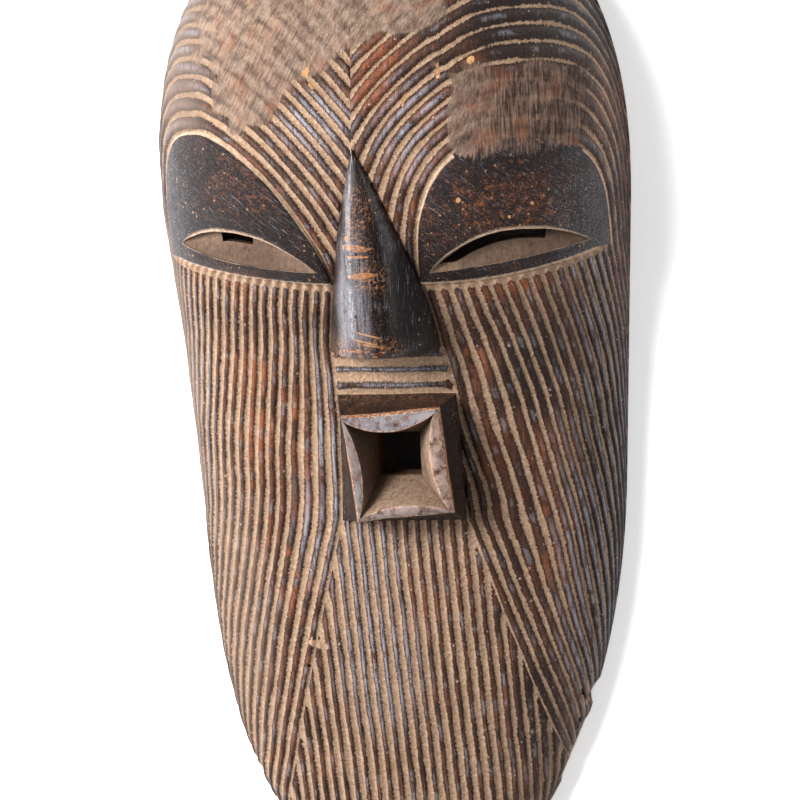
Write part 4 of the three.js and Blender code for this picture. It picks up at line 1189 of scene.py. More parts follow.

# %% [markdown]
# ## Where the finish changes
#
# Clay fills the lines more on the chin than on the dark cheek, the forehead is scraped, and patches of the
# wood are rubbed red. Others hold a painted grey highlight, grime with painted shade, or painted shade. These
# large changes are numbers stored on the points, painted here as soft round patches given in millimetres:
# strength, place and size. The materials read them by name.

# %% Places of the patches
# each patch: strength, x, y, half width and half height in mm
PATCHES = {
    "rust": [
        (0.9, -60, -25, 22, 62), (0.7, -76, 45, 12, 26), (0.8, -56, -85, 14, 26), (0.9, 60, 58, 16, 14),
        (0.8, 50, 34, 9, 18), (1.0, 90, -30, 15, 28), (0.9, 80, 66, 22, 14), (0.8, 54, -40, 16, 40),
        (0.8, 82, -66, 18, 30), (0.5, 34, 135, 22, 34), (0.7, 62, 178, 16, 16), (0.5, -62, 128, 26, 22),
        (1.0, 76, 118, 34, 22), (0.6, 12, 182, 16, 22), (0.5, -44, 185, 24, 14),
        (0.6, -74, 198, 14, 10), (0.35, 5, -110, 20, 26), (0.4, 45, -100, 12, 30),
        (0.9, -70, 78, 22, 5),
    ],
    # painted highlight: grey on ridge tops, down the nose's front, at the eye fields' outer ends and on the
    # side walls
    "painted_highlight": [
        (1.0, -20, 160, 20, 17), (0.8, -84, 205, 20, 26), (1.0, -33, -12, 6, 60),
        (0.9, -18, -80, 24, 34), (0.9, -12, -135, 26, 44), (0.8, -46, -66, 10, 34),
        (1.0, 108, 100, 13, 46), (0.9, -104, 122, 12, 36), (0.8, 100, -100, 18, 90),
        (0.9, 5, 25, 34, 12), (0.9, 30, 155, 18, 26), (0.7, 112, 10, 12, 90), (0.6, -106, 20, 10, 90),
        (1.0, -8, 66, 6, 34), (0.9, -3, 122, 3, 22), (0.8, -50, 75, 16, 4), (0.9, 1, 66, 6, 40),
    ],
    # grime and painted shade: dirt, and shade on the side away from the light, on the nose's right flank and
    # beside the mouth box
    "grime_and_shade": [
        (0.9, 45, -18, 7, 40), (0.8, 62, 52, 26, 16), (0.7, 96, 30, 16, 60), (0.8, 46, -112, 12, 22),
        (0.9, 70, -168, 15, 44), (0.7, -62, -40, 14, 34), (0.7, 88, 196, 24, 12),
        (0.8, 100, 160, 14, 40), (0.7, -30, 52, 9, 20), (0.6, 92, -40, 14, 50), (0.7, -62, 110, 34, 18),
        (0.9, 76, 138, 34, 12), (1.0, 80, 26, 22, 34), (0.5, -80, 52, 16, 14), (0.9, 108, -60, 18, 130),
        (1.0, 25, 66, 9, 44), (1.0, 92, 208, 52, 32), (0.8, 60, -60, 22, 60),
    ],
    "shade": [
        (0.75, -74, 86, 44, 16), (0.65, 80, 88, 48, 18), (0.8, -12, -20, 11, 22), (0.7, 8, -1, 22, 8),
    ],
    "wear": [
        (1.0, -2, 43, 26, 6), (0.6, 1, 112, 7, 16), (0.8, 6, 80, 9, 8),
    ],
    "dust": [
        (0.65, -98, 190, 20, 60), (0.6, -118, 20, 12, 110), (0.3, -96, -110, 26, 80),
    ],
}

print("patches:", {name: len(rows) for name, rows in PATCHES.items()})

# %% [markdown]
# Painting is done on all the points at once: each point takes the strongest patch that covers it. A few masks
# follow a rule instead: how wide the clay lies, where the face is scraped, and the line under the fields.

# %% Paint the masks on the points
places = np.zeros(len(mask_mesh.vertices) * 3, np.float32)
mask_mesh.vertices.foreach_get("co", places)
px, py = (places.reshape(-1, 3) / MM).T[:2]
uneven = waver(px, py, 7.0)


def patch(strength, x, y, rx, ry):
    """A soft round patch with an uneven edge, as strong as strength in its middle."""
    return strength * ease(1.35, 0.45, np.hypot((px - x) / rx, (py - y) / ry) + 0.18 * uneven)


def paint(name, values):
    layer = mask_mesh.attributes.new(name, "FLOAT", "POINT")
    layer.data.foreach_set("value", np.ascontiguousarray(values, np.float32))
    print("painted", name, "from", round(float(values.min()), 2), "to", round(float(values.max()), 2))


for name, patches in PATCHES.items():
    paint(name, np.maximum.reduce([patch(*one) for one in patches]))
steep = ease(0.72, 0.98, np.abs(px - middle(py)) / np.maximum(half_width(py), 1))
clay_share = np.full(len(px), 0.43)
clay_share = mix(clay_share, 0.56, between(-60, -30, 45, 60, px) * ease(-30, -70, py))
clay_share = mix(clay_share, 0.38, ease(45, 70, px) * ease(80, 60, py) * ease(-230, -140, py))
clay_share = mix(clay_share, 0.16, ease(20, 60, px) * ease(130, 170, py))
clay_share = mix(clay_share, 0.2, steep * ease(60, 110, px))
clay_share = mix(clay_share, 0.48, ease(-60, -105, px) * ease(110, 70, py))
clay_share = mix(clay_share, 0.36, ease(-70, -95, px) * ease(110, 150, py))
clay_share = mix(clay_share, 0.3, between(-2, 6, 50, 66, px) * ease(140, 156, py))
clay_share = mix(clay_share, 0.66, between(-26, -22, 32, 38, px) * between(10, 13, 37, 40, py))
paint("clay_share", clay_share)
paint("scrape", scraped(px, py))
foot_clay = np.zeros(len(px))
for field in FIELDS.values():
    inner_x = nose_edge(field["side"], FIELD_INNER_Y)
    t = (px - inner_x) / (field["outer"][0] - inner_x)
    over = py - mix(FIELD_INNER_Y, field["outer"][1], t) + field["sag"] * 4 * t * (1 - t)
    foot_clay = np.maximum(foot_clay, between(-3.2, -0.6, 0.8, 3.4, over) * between(-0.02, 0, 0.9, 1.0, t))
paint("foot_clay", foot_clay)
paint("block", between(42, 76, 130, 140, px) * ease(120, 135, py))

# %% [markdown]
# ## Shared effects
#
# All the finishes are made of the same few things: wood fibres that run up the mask, mottled colour, clay
# that stays in the cuts, pale specks, and single marks such as a pin hole or a chip. Each is a node group
# with named inputs, built once and placed in every material with that material's own numbers. A few helpers
# come first, so that a node and its links take one line.

# %% Node helpers
FLOAT, COLOUR, VECTOR = "NodeSocketFloat", "NodeSocketColor", "NodeSocketVector"


def feed(tree, value, socket):
    """Links a socket's value, or types a plain one in."""
    if isinstance(value, bpy.types.NodeSocket):
        tree.links.new(value, socket)
    else:
        socket.default_value = value


def put_node(tree, kind, inputs=(), **settings):
    node = tree.nodes.new(kind)
    for key, value in settings.items():
        setattr(node, key, value)
    for key, value in dict(inputs).items():
        feed(tree, value, node.inputs[key])
    return node


def math_node(tree, operation, *values, clamp=False):
    inputs = dict(enumerate(values))
    return put_node(tree, "ShaderNodeMath", inputs, operation=operation, use_clamp=clamp).outputs[0]


def vector_node(tree, operation, *values):
    node = put_node(tree, "ShaderNodeVectorMath", dict(enumerate(values)), operation=operation)
    return node.outputs["Value"] if operation == "LENGTH" else node.outputs[0]


def blend_colour(tree, share, a, b):
    node = put_node(tree, "ShaderNodeMix", data_type="RGBA")
    for value, socket in ((share, node.inputs[0]), (a, node.inputs[6]), (b, node.inputs[7])):
        feed(tree, value, socket)
    return node.outputs[2]


def smooth_step(tree, low, high, value):
    inputs = {0: value, 1: low, 2: high}
    return put_node(tree, "ShaderNodeMapRange", inputs, interpolation_type="SMOOTHSTEP").outputs[0]


def noise_node(tree, place, scale, detail=2.0, roughness=0.5):
    settings = {"Vector": place, "Scale": scale, "Detail": detail, "Roughness": roughness}
    return put_node(tree, "ShaderNodeTexNoise", settings).outputs[0]


def attribute(tree, name):
    return put_node(tree, "ShaderNodeAttribute", attribute_name=name).outputs["Fac"]


print("node helpers for", bpy.app.version_string)

# %% [markdown]
# ### Short words for common sums
#
# Most of a finish is a handful of sums: one mask times another, a colour laid over another with some
# strength, or an edge that a noise pushes to and fro so that it doesn't look ruled. Each gets a short name
# here, and a group of nodes gets one line to make it and one to place it.

# %% Sums and groups
def times(tree, a, b):
    return math_node(tree, "MULTIPLY", a, b)


def less(tree, a, b):
    return math_node(tree, "SUBTRACT", a, b)


def times_plus(tree, a, b, c):
    return math_node(tree, "MULTIPLY_ADD", a, b, c)


def stronger(tree, a, b):
    return math_node(tree, "MAXIMUM", a, b)


def swing(tree, unevenness, width, base):
    """The base, pushed up and down by a noise that lies between 0 and 1."""
    return times_plus(tree, less(tree, unevenness, 0.5), width, base)


def lay_over(tree, colour, share, strength, above):
    """A colour laid over another where share is 1, and only as strong as strength."""
    return blend_colour(tree, times(tree, share, strength), colour, above)


def new_group(name, inputs, outputs):
    tree = bpy.data.node_groups.new(name, "ShaderNodeTree")
    for label, kind, value in inputs:
        socket = tree.interface.new_socket(label, in_out="INPUT", socket_type=kind)
        socket.default_value = value
    for label, kind in outputs:
        tree.interface.new_socket(label, in_out="OUTPUT", socket_type=kind)
    source = tree.nodes.new("NodeGroupInput")
    result = tree.nodes.new("NodeGroupOutput")
    return tree, source.outputs, result.inputs


def place_group(tree, group, inputs=()):
    node = tree.nodes.new("ShaderNodeGroup")
    node.node_tree = group
    for key, value in dict(inputs).items():
        feed(tree, value, node.inputs[key])
    return node


print("socket kinds used:", FLOAT, COLOUR, VECTOR)

# %% [markdown]
# ### Wood fibres
#
# Scraped or worn wood shows its fibres: hair-thin streaks that run up the mask. A noise gives them when its
# space is squeezed far more across than along. A second, even noise gives slow patches, because no block of
# wood is one colour all over.

# %% Group: wood fibres
FIBRE_SQUEEZE = (900, 60, 260)
PATCH_SCALE = 62.0
tree, given, out = new_group(
    "fibres",
    [("Place", VECTOR, (0, 0, 0)), ("Size", FLOAT, 1.0), ("Slant", FLOAT, 0.0)],
    [("Fibre", FLOAT), ("Patch", FLOAT)],
)
fibre_group = tree
slant = {"Vector": given["Place"], "Angle": given["Slant"]}
turned = put_node(tree, "ShaderNodeVectorRotate", slant, rotation_type="Z_AXIS").outputs[0]
stretched = put_node(tree, "ShaderNodeMapping", {"Vector": turned, "Scale": FIBRE_SQUEEZE}).outputs[0]
size = {0: stretched, "Scale": given["Size"]}
sized = put_node(tree, "ShaderNodeVectorMath", size, operation="SCALE").outputs[0]
feed(tree, noise_node(tree, sized, 1.0, 5.0, 0.68), out["Fibre"])
feed(tree, noise_node(tree, given["Place"], PATCH_SCALE, 4.0, 0.65), out["Patch"])
print("group", tree.name, "with", len(tree.nodes), "nodes")

# %% [markdown]
# ### Clay left in the cuts
#
# Wet clay was rubbed over the whole mask and wiped off, so it stays in the grooves and not on the ridges.
# The phase that the mesh carries tells how far a point is from the bottom of its groove. Three noises push
# the edge about: a slow one for the wander, a quick one for crumbs, and one stretched along the line for the
# hairs that the wiping hand left. The same edge gives a painted shade, a dark rim just outside the clay.

# %% Group: clay left in the cuts
EDGE_SHADOW = (0.02, 0.34)
tree, given, out = new_group(
    "clay in the cuts",
    [
        ("Place", VECTOR, (0, 0, 0)),
        ("Phase", FLOAT, 0.0),
        ("Along", FLOAT, 0.0),
        ("Share", FLOAT, 0.5),
        ("Feather", FLOAT, 0.1),
    ],
    [("Clay", FLOAT), ("Ridge", FLOAT), ("Edge shade", FLOAT)],
)
clay_group = tree
slow = noise_node(tree, given["Place"], 70.0, 2.0)
quick = noise_node(tree, given["Place"], 1100.0, 3.0, 0.75)
broad = noise_node(tree, given["Place"], 42.0, 3.0, 0.6)
hair_space = {0: times(tree, given["Phase"], 2.2), 1: times(tree, given["Along"], 3.6)}
hair_place = put_node(tree, "ShaderNodeCombineXYZ", hair_space).outputs[0]
hair = noise_node(tree, hair_place, 1.0, 3.0, 0.65)
moved = swing(tree, slow, 0.16, given["Phase"])
ridge = times(tree, math_node(tree, "PINGPONG", moved, 0.5), 2.0)
ragged = swing(tree, hair, 0.8, swing(tree, quick, 0.5, ridge))
edge_at = swing(tree, broad, 0.55, given["Share"])
low = less(tree, edge_at, given["Feather"])
high = math_node(tree, "ADD", edge_at, given["Feather"])
on_ridge = smooth_step(tree, low, high, ragged)
# painted shade: the rim just past the clay's edge
shadow_low = math_node(tree, "ADD", edge_at, EDGE_SHADOW[0])
shadow_high = math_node(tree, "ADD", edge_at, EDGE_SHADOW[1])
past_edge = less(tree, 1.0, smooth_step(tree, shadow_low, shadow_high, ragged))
feed(tree, less(tree, 1.0, on_ridge), out["Clay"])
feed(tree, ridge, out["Ridge"])
feed(tree, times(tree, past_edge, on_ridge), out["Edge shade"])
print("group", tree.name, "with", len(tree.nodes), "nodes")

# %% [markdown]
# ### Pale specks
#
# Crumbs of clay and tiny chips lie about as pale specks. A cell texture has one point in each cell: a few
# cells are chosen by their own colour, and only the middle of each is shown, in a size of its own.

# %% Group: pale specks
SPECK_BEND = (0.0016, 0.0016, 0.0016)
SPECK_BEND_SCALE = 700.0
tree, given, out = new_group(
    "specks",
    [("Place", VECTOR, (0, 0, 0)), ("Scale", FLOAT, 260.0), ("Share", FLOAT, 0.2)],
    [("Speck", FLOAT)],
)
speck_group = tree
bend = put_node(tree, "ShaderNodeTexNoise", {"Vector": given["Place"], "Scale": SPECK_BEND_SCALE})
bent = vector_node(tree, "MULTIPLY_ADD", bend.outputs["Color"], SPECK_BEND, given["Place"])
cells = put_node(tree, "ShaderNodeTexVoronoi", {"Vector": bent, "Scale": given["Scale"]})
chosen = put_node(tree, "ShaderNodeSeparateColor", {0: cells.outputs["Color"]})
few = math_node(tree, "LESS_THAN", chosen.outputs[0], given["Share"])
spot_size = times_plus(tree, chosen.outputs[1], 0.2, 0.08)
round_spot = math_node(tree, "LESS_THAN", cells.outputs["Distance"], spot_size)
feed(tree, times(tree, few, round_spot), out["Speck"])
print("group", tree.name, "with", len(tree.nodes), "nodes")

# %% [markdown]
# ### One mark
#
# A pin hole, a chip or a crack happened once, in one place, so it can't come from a pattern. A mark is an
# oval round a named place, turned as needed, with its edge torn by a noise.

# %% Group: one mark
tree, given, out = new_group(
    "mark",
    [
        ("Place", VECTOR, (0, 0, 0)),
        ("Middle", VECTOR, (0, 0, 0)),
        ("Size", VECTOR, (1, 1, 1)),
        ("Turn", FLOAT, 0.0),
    ],
    [("Mark", FLOAT)],
)
mark_group = tree
turn = {"Vector": given["Place"], "Center": given["Middle"], "Angle": given["Turn"]}
turned = put_node(tree, "ShaderNodeVectorRotate", turn, rotation_type="Z_AXIS").outputs[0]
offset = vector_node(tree, "SUBTRACT", turned, given["Middle"])
distance = vector_node(tree, "LENGTH", vector_node(tree, "DIVIDE", offset, given["Size"]))
torn = swing(tree, noise_node(tree, given["Place"], 600.0, 2.0), 1.1, distance)
feed(tree, smooth_step(tree, 1.1, 0.85, torn), out["Mark"])
print("group", tree.name, "with", len(tree.nodes), "nodes")

# %% [markdown]
# ### Where single marks are
#
# The larger marks of the real mask are listed by place: raw wood where the brow was knocked, a lump of clay
# on the left seam, pin holes, cracks in the lower edge, and the worn bands and scratches on the nose.

# %% Where single marks are placed
MARK_MIDDLE_Z = 0.08
MARK_DEPTH = 0.5
# each mark: x, y, half width and half height in mm, and its turn in radians
RAW_CHIPS = [
    (-23, 184, 1.8, 2.6, 0.5),
    (-20, 178, 1.2, 2.4, -0.4),
    (44, 182, 1.1, 4.2, 0.0),
    (60, 187, 1.8, 2.0, 0.6),
    (27, 169, 0.8, 3.4, 0.3),
]
SEAM_CLAY = [(-47, -128, 6.5, 2.2, 0.25)]
PIN_HOLES = [(-53.6, -140.5, 0.9, 0.9, 0.0)]
CRACKS = [(93.5, -166, 0.9, 7.5, -0.25), (88.5, -180, 0.8, 3.0, 0.3)]
NOSE_HOLES = [(0.3, 92.9, 0.8, 0.8, 0.0), (-1.8, 61.2, 0.8, 0.8, 0.0)]
NOSE_BANDS = [
    (0.4, 96.0, 8.0, 1.6, 0.1),
    (1.0, 91.5, 6.5, 0.8, 0.0),
    (3.0, 82.0, 7.5, 1.7, -0.1),
    (-4.5, 100.6, 1.5, 1.7, 0.0),
]
NOSE_SCRATCHES = [(4.5, 51.5, 7.0, 0.45, 0.25), (2.5, 48.0, 6.0, 0.4, 0.25), (5.0, 46.2, 5.0, 0.4, 0.2)]
FIELD_CHIPS = [(87, 114, 1.0, 0.8, 0.6), (52, 118, 1.1, 1.4, 0.0), (76, 108, 0.8, 0.8, 0.0)]


def marks(tree, place, places):
    """The strongest of several marks."""
    found = None
    for x, y, wide, high, turn in places:
        inputs = {
            "Place": place,
            "Middle": (x * MM, y * MM, MARK_MIDDLE_Z),
            "Size": (wide * MM, high * MM, MARK_DEPTH),
            "Turn": turn,
        }
        one = place_group(tree, mark_group, inputs).outputs[0]
        found = one if found is None else stronger(tree, found, one)
    return found


print("marks on the ridged wood:", len(RAW_CHIPS + SEAM_CLAY + PIN_HOLES + CRACKS))

# %% [markdown]
# ## The finishes
#
# One shader per kind of surface. The ridged wood is the main one: the phase in the UV map tells clay from
# ridge, fibres and mottling break up both, and the scraped places are mixed over the top. The colours are
# picked as they look on screen and turned into light values, a little lower because the lamps are bright.

# %% Colours
STUDIO_EXPOSURE = 0.8


def rgb(red, green, blue):
    """A colour as seen on screen, 0 to 255, as the light value of the wood under this studio's lamps."""
    light = []
    for value in (red / 255, green / 255, blue / 255):
        light.append(value / 12.92 if value <= 10 / 255 else ((value + 0.055) / 1.055) ** 2.4)
    return tuple(value * STUDIO_EXPOSURE for value in light) + (1.0,)


CLAY_LIGHT = rgb(212, 182, 156)
CLAY_MID = rgb(178, 144, 116)
CLAY_DARK = rgb(146, 114, 92)
RIDGE_BLACK = rgb(16, 11, 11)
RIDGE_DARK = rgb(52, 33, 27)
RIDGE_BROWN = rgb(120, 76, 54)
RIDGE_RED = rgb(156, 84, 46)
# grey of the painted highlight, also used for pale scratches
HIGHLIGHT_AND_SCRATCH_GREY = rgb(148, 148, 158)
SCRAPED_PALE = rgb(162, 140, 122)
SCRAPED_BROWN = rgb(128, 104, 90)
SCRAPED_DARK = rgb(62, 46, 40)
SCRAPED_MUD = rgb(98, 78, 66)
RAW_WOOD = rgb(196, 148, 104)
BROKEN_WOOD = rgb(140, 108, 84)
WORN_ORANGE = rgb(166, 100, 56)
DUST_PALE = rgb(156, 134, 118)
DUST_BROWN = rgb(116, 99, 88)
print("pale clay as light values:", [round(v, 3) for v in CLAY_LIGHT[:3]])

# %% [markdown]
# ### Dark, rubbed wood
#
# The ridges, the eye fields, the nose and the lips share one wood: stained nearly black, rubbed brown by
# hands, red where the stain has gone, and a painted grey highlight where the skin's grease left a sheen.
# Grime and painted shade turn it black. One group makes it, and each finish says how much rust, grime and
# shade, and painted highlight it wants.

# %% Group: dark wood
tree, given, out = new_group(
    "dark wood",
    [("Place", VECTOR, (0, 0, 0)), ("Rust", FLOAT, 0.0), ("Grime and shade", FLOAT, 0.0), ("Painted highlight", FLOAT, 0.0)],
    [("Colour", COLOUR), ("Fibre", FLOAT)],
)
dark_group = tree
place = given["Place"]
wood = place_group(tree, fibre_group, {"Place": place})
fibre, patchy = wood.outputs["Fibre"], wood.outputs["Patch"]
streak = swing(tree, noise_node(tree, place, 1500.0, 2.0, 0.6), 0.7, fibre)
colour = blend_colour(tree, smooth_step(tree, 0.38, 0.68, streak), RIDGE_DARK, RIDGE_BROWN)
rusty = smooth_step(tree, 0.36, 0.56, noise_node(tree, place, 480.0, 5.0, 0.75))
redness = times(tree, times(tree, given["Rust"], smooth_step(tree, 0.36, 0.54, patchy)), rusty)
colour = lay_over(tree, colour, redness, 0.85, RIDGE_RED)
unstained = times(tree, smooth_step(tree, 0.56, 0.42, patchy), 0.6)
# grime with painted shade, and random unstained patches, turn the wood black
colour = lay_over(tree, colour, stronger(tree, given["Grime and shade"], unstained), 0.92, RIDGE_BLACK)
# painted highlight: grey along the fibres, as strong as asked for
rubbed_highlight = times(tree, given["Painted highlight"], smooth_step(tree, 0.32, 0.56, streak))
colour = blend_colour(tree, rubbed_highlight, colour, HIGHLIGHT_AND_SCRATCH_GREY)
dust = smooth_step(tree, 0.64, 0.72, noise_node(tree, place, 2400.0, 1.0))
feed(tree, lay_over(tree, colour, dust, 0.5, CLAY_MID), out["Colour"])
feed(tree, fibre, out["Fibre"])
print("group", tree.name, "with", len(tree.nodes), "nodes")

# %% [markdown]
# ### Scraped wood
#
# On the left of the brow the carving was scraped nearly flat, and on the right a block was rasped. The left
# shows short slanted fibres, pale and muddy; the block shows longer upright ones and is darker. The "block"
# numbers painted on the points choose between the two.

# %% Group: scraped wood
LEFT_FIBRES = {"Size": 1.4, "Slant": 0.5}
BLOCK_FIBRES = {"Size": 1.25, "Slant": 0.0}
tree, given, out = new_group(
    "scraped wood", [("Place", VECTOR, (0, 0, 0)), ("Block", FLOAT, 0.0)], [("Colour", COLOUR)]
)
scraped_group = tree
place, block = given["Place"], given["Block"]
lumps = noise_node(tree, place, 170.0, 7.0, 0.72)
slanted = place_group(tree, fibre_group, {"Place": place, **LEFT_FIBRES})
upright = place_group(tree, fibre_group, {"Place": place, **BLOCK_FIBRES})
left_part = times(tree, slanted.outputs["Fibre"], less(tree, 1.0, block))
fibre = math_node(tree, "ADD", left_part, times(tree, upright.outputs["Fibre"], block))
fibre = swing(tree, lumps, less(tree, 0.8, times(tree, block, 0.55)), fibre)
stain = smooth_step(tree, 0.56, 0.4, slanted.outputs["Patch"])
fibre = less(tree, fibre, times_plus(tree, stain, 0.07, times(tree, block, 0.13)))
lowest = blend_colour(tree, block, SCRAPED_MUD, SCRAPED_DARK)
colour = blend_colour(tree, smooth_step(tree, 0.24, 0.44, fibre), lowest, SCRAPED_BROWN)
colour = blend_colour(tree, smooth_step(tree, 0.4, 0.6, fibre), colour, SCRAPED_PALE)
reddish = smooth_step(tree, 0.5, 0.66, slanted.outputs["Patch"])
feed(tree, lay_over(tree, colour, reddish, 0.3, RIDGE_RED), out["Colour"])
print("group", tree.name, "with", len(tree.nodes), "nodes")

# %% [markdown]
# ### Starting and ending a material
#
# Every finish starts from the same shader with a low gloss, reads its place from Object coordinates, and ends
# with a colour, a roughness and a height for the bump. Only the middle differs.

# %% Material helpers
WOOD_GLOSS = 0.16


def start_material(name):
    material = bpy.data.materials.new(name)
    material.use_nodes = True
    tree = material.node_tree
    shader = tree.nodes["Principled BSDF"]
    shader.inputs["Specular IOR Level"].default_value = WOOD_GLOSS
    place = put_node(tree, "ShaderNodeTexCoord").outputs["Object"]
    return tree, shader, place


def finish_material(tree, shader, colour, roughness, height, depth):
    tree.links.new(colour, shader.inputs["Base Color"])
    tree.links.new(roughness, shader.inputs["Roughness"])
    bump = put_node(tree, "ShaderNodeBump", {"Height": height, "Distance": depth, "Strength": 1.0})
    tree.links.new(bump.outputs[0], shader.inputs["Normal"])
    print("bump", depth * 1000, "mm deep,", len(tree.nodes), "nodes")


def line_map(tree):
    """Phase across the lines and distance along them."""
    uv = put_node(tree, "ShaderNodeUVMap", uv_map="lines").outputs[0]
    parts = put_node(tree, "ShaderNodeSeparateXYZ", {0: uv}).outputs
    return parts[0], parts[1]


def dark_wood(tree, place, painted_highlight):
    """Colour and fibre of the dark wood, with the rust and the grime and painted shade stored on the points.
    """
    painted = {"Rust": attribute(tree, "rust"), "Grime and shade": attribute(tree, "grime_and_shade")}
    node = place_group(tree, dark_group, {"Place": place, "Painted highlight": painted_highlight, **painted})
    return node.outputs["Colour"], node.outputs["Fibre"]


def scraped_wood(tree, place):
    node = place_group(tree, scraped_group, {"Place": place, "Block": attribute(tree, "block")})
    return node.outputs["Colour"]


print("gloss of the wood:", WOOD_GLOSS)

# %% [markdown]
# ### Ridged wood
#
# The gouged face itself. Below, the dark wood takes a painted grey highlight on the tops of the ridges, gets
# a black rim of painted shade beside the clay and a few specks, and the clay goes over it.

# %% Ridged wood: ridges and clay
tree, shader, place = start_material("ridged_wood")
phase, along = line_map(tree)
foot = times(tree, attribute(tree, "foot_clay"), 1.3)
share = math_node(tree, "ADD", attribute(tree, "clay_share"), foot)
cut = {"Place": place, "Phase": phase, "Along": along, "Share": share, "Feather": 0.07}
clay = place_group(tree, clay_group, cut).outputs
mottle = noise_node(tree, place, 95.0, 3.0, 0.6)
ridge_top = smooth_step(tree, 0.5, 0.95, clay["Ridge"])
# painted highlight on the ridge tops: grey where the patches lie, and in stray spots elsewhere
patch_highlight = times(tree, attribute(tree, "painted_highlight"), smooth_step(tree, 0.3, 0.5, mottle))
stray_highlight = times(tree, smooth_step(tree, 0.52, 0.66, mottle), 0.5)
painted_highlight = times(tree, ridge_top, stronger(tree, patch_highlight, stray_highlight))
wood, fibre = dark_wood(tree, place, painted_highlight)
# painted shade: a black rim beside the clay
wood = lay_over(tree, wood, clay["Edge shade"], 0.75, RIDGE_BLACK)
specks = place_group(tree, speck_group, {"Place": place, "Scale": 380.0, "Share": 0.12})
wood = lay_over(tree, wood, specks.outputs[0], 0.5, CLAY_LIGHT)
lumps = noise_node(tree, place, 520.0, 5.0, 0.72)
clay_colour = blend_colour(tree, smooth_step(tree, 0.28, 0.46, lumps), CLAY_DARK, CLAY_MID)
clay_colour = blend_colour(tree, smooth_step(tree, 0.42, 0.72, lumps), clay_colour, CLAY_LIGHT)
colour = blend_colour(tree, clay["Clay"], wood, clay_colour)
print("nodes so far:", len(tree.nodes))

# %% [markdown]
# Over ridges and clay come grime with painted shade, dust on the left side, the scraped places with faint
# remains of the old lines, and at last the single marks and the broken edge.

# %% Ridged wood: dust, scraping and marks
DUST_TURNS_BROWN = (0.09, 0.14)
# grime with painted shade darkens the clay too
colour = lay_over(tree, colour, attribute(tree, "grime_and_shade"), 0.16, RIDGE_DARK)
up_the_mask = put_node(tree, "ShaderNodeSeparateXYZ", {0: place}).outputs["Y"]
dust_colour = blend_colour(tree, smooth_step(tree, *DUST_TURNS_BROWN, up_the_mask), DUST_PALE, DUST_BROWN)
colour = lay_over(tree, colour, attribute(tree, "dust"), 0.8, dust_colour)
scrape_edge = swing(tree, mottle, 1.3, attribute(tree, "scrape"))
scrape_on = smooth_step(tree, 0.25, 0.85, swing(tree, fibre, 1.5, scrape_edge))
old_lines = times(tree, ridge_top, smooth_step(tree, 0.45, 0.6, mottle))
bare = lay_over(tree, scraped_wood(tree, place), old_lines, 0.5, SCRAPED_DARK)
colour = lay_over(tree, colour, scrape_on, 0.92, bare)
colour = blend_colour(tree, marks(tree, place, SEAM_CLAY), colour, CLAY_MID)
colour = blend_colour(tree, marks(tree, place, RAW_CHIPS), colour, RAW_WOOD)
colour = blend_colour(tree, smooth_step(tree, 0.45, 0.7, attribute(tree, "broken")), colour, BROKEN_WOOD)
dark_marks = marks(tree, place, PIN_HOLES + CRACKS)
colour = blend_colour(tree, dark_marks, colour, RIDGE_BLACK)
dull = stronger(tree, clay["Clay"], scrape_on)
roughness = times_plus(tree, dull, 0.45, 0.44)
rough_clay = times(tree, lumps, times_plus(tree, dull, 1.6, 0.3))
height = math_node(tree, "ADD", rough_clay, times(tree, fibre, 0.6))
height = less(tree, height, dark_marks)
finish_material(tree, shader, colour, roughness, height, 0.0009)

# %% [markdown]
# ### Eye fields
#
# The eye fields are smooth and nearly black, with a fine stipple, scratches across, orange flecks where the
# stain has gone, and pale chips. Their sheets carry the distance from the border instead of a phase, so the
# same clay group draws the line of clay round them. The lid's edge and the foot of the field get clay too.

# %% Eye fields: the dark wood
tree, shader, place = start_material("eye_field")
from_border, to_lid = line_map(tree)
mottle = noise_node(tree, place, 80.0, 3.0, 0.6)
# painted highlight: grey where the highlight patches lie, at the fields' outer ends
rubbed_highlight = times(tree, attribute(tree, "painted_highlight"), smooth_step(tree, 0.3, 0.5, mottle))
wood, fibre = dark_wood(tree, place, times(tree, rubbed_highlight, 0.6))
stipple = noise_node(tree, place, 1300.0, 3.0, 0.7)
wood = blend_colour(tree, smooth_step(tree, 0.66, 0.48, stipple), wood, RIDGE_BLACK)
crossed = place_group(tree, fibre_group, {"Place": place, "Size": 1.7, "Slant": -0.9}).outputs["Fibre"]
wood = lay_over(tree, wood, smooth_step(tree, 0.56, 0.68, crossed), 0.4, HIGHLIGHT_AND_SCRATCH_GREY)
flecks = smooth_step(tree, 0.54, 0.62, noise_node(tree, place, 300.0, 5.0, 0.7))
wood = lay_over(tree, wood, times(tree, flecks, attribute(tree, "rust")), 0.45, WORN_ORANGE)
scrape = attribute(tree, "scrape")
scrape_on = smooth_step(tree, 0.5, 0.8, swing(tree, fibre, 1.6, scrape))
wood = lay_over(tree, wood, scrape_on, 0.9, scraped_wood(tree, place))
specks = place_group(tree, speck_group, {"Place": place, "Scale": 420.0, "Share": 0.2})
wood = lay_over(tree, wood, specks.outputs[0], 0.6, RAW_WOOD)
wood = blend_colour(tree, marks(tree, place, FIELD_CHIPS), wood, RAW_WOOD)
print("nodes so far:", len(tree.nodes))

# %% [markdown]
# The clay comes last: a line along the border, except where the brow was scraped, the lid's edge, and a thick
# line along the foot of the field.

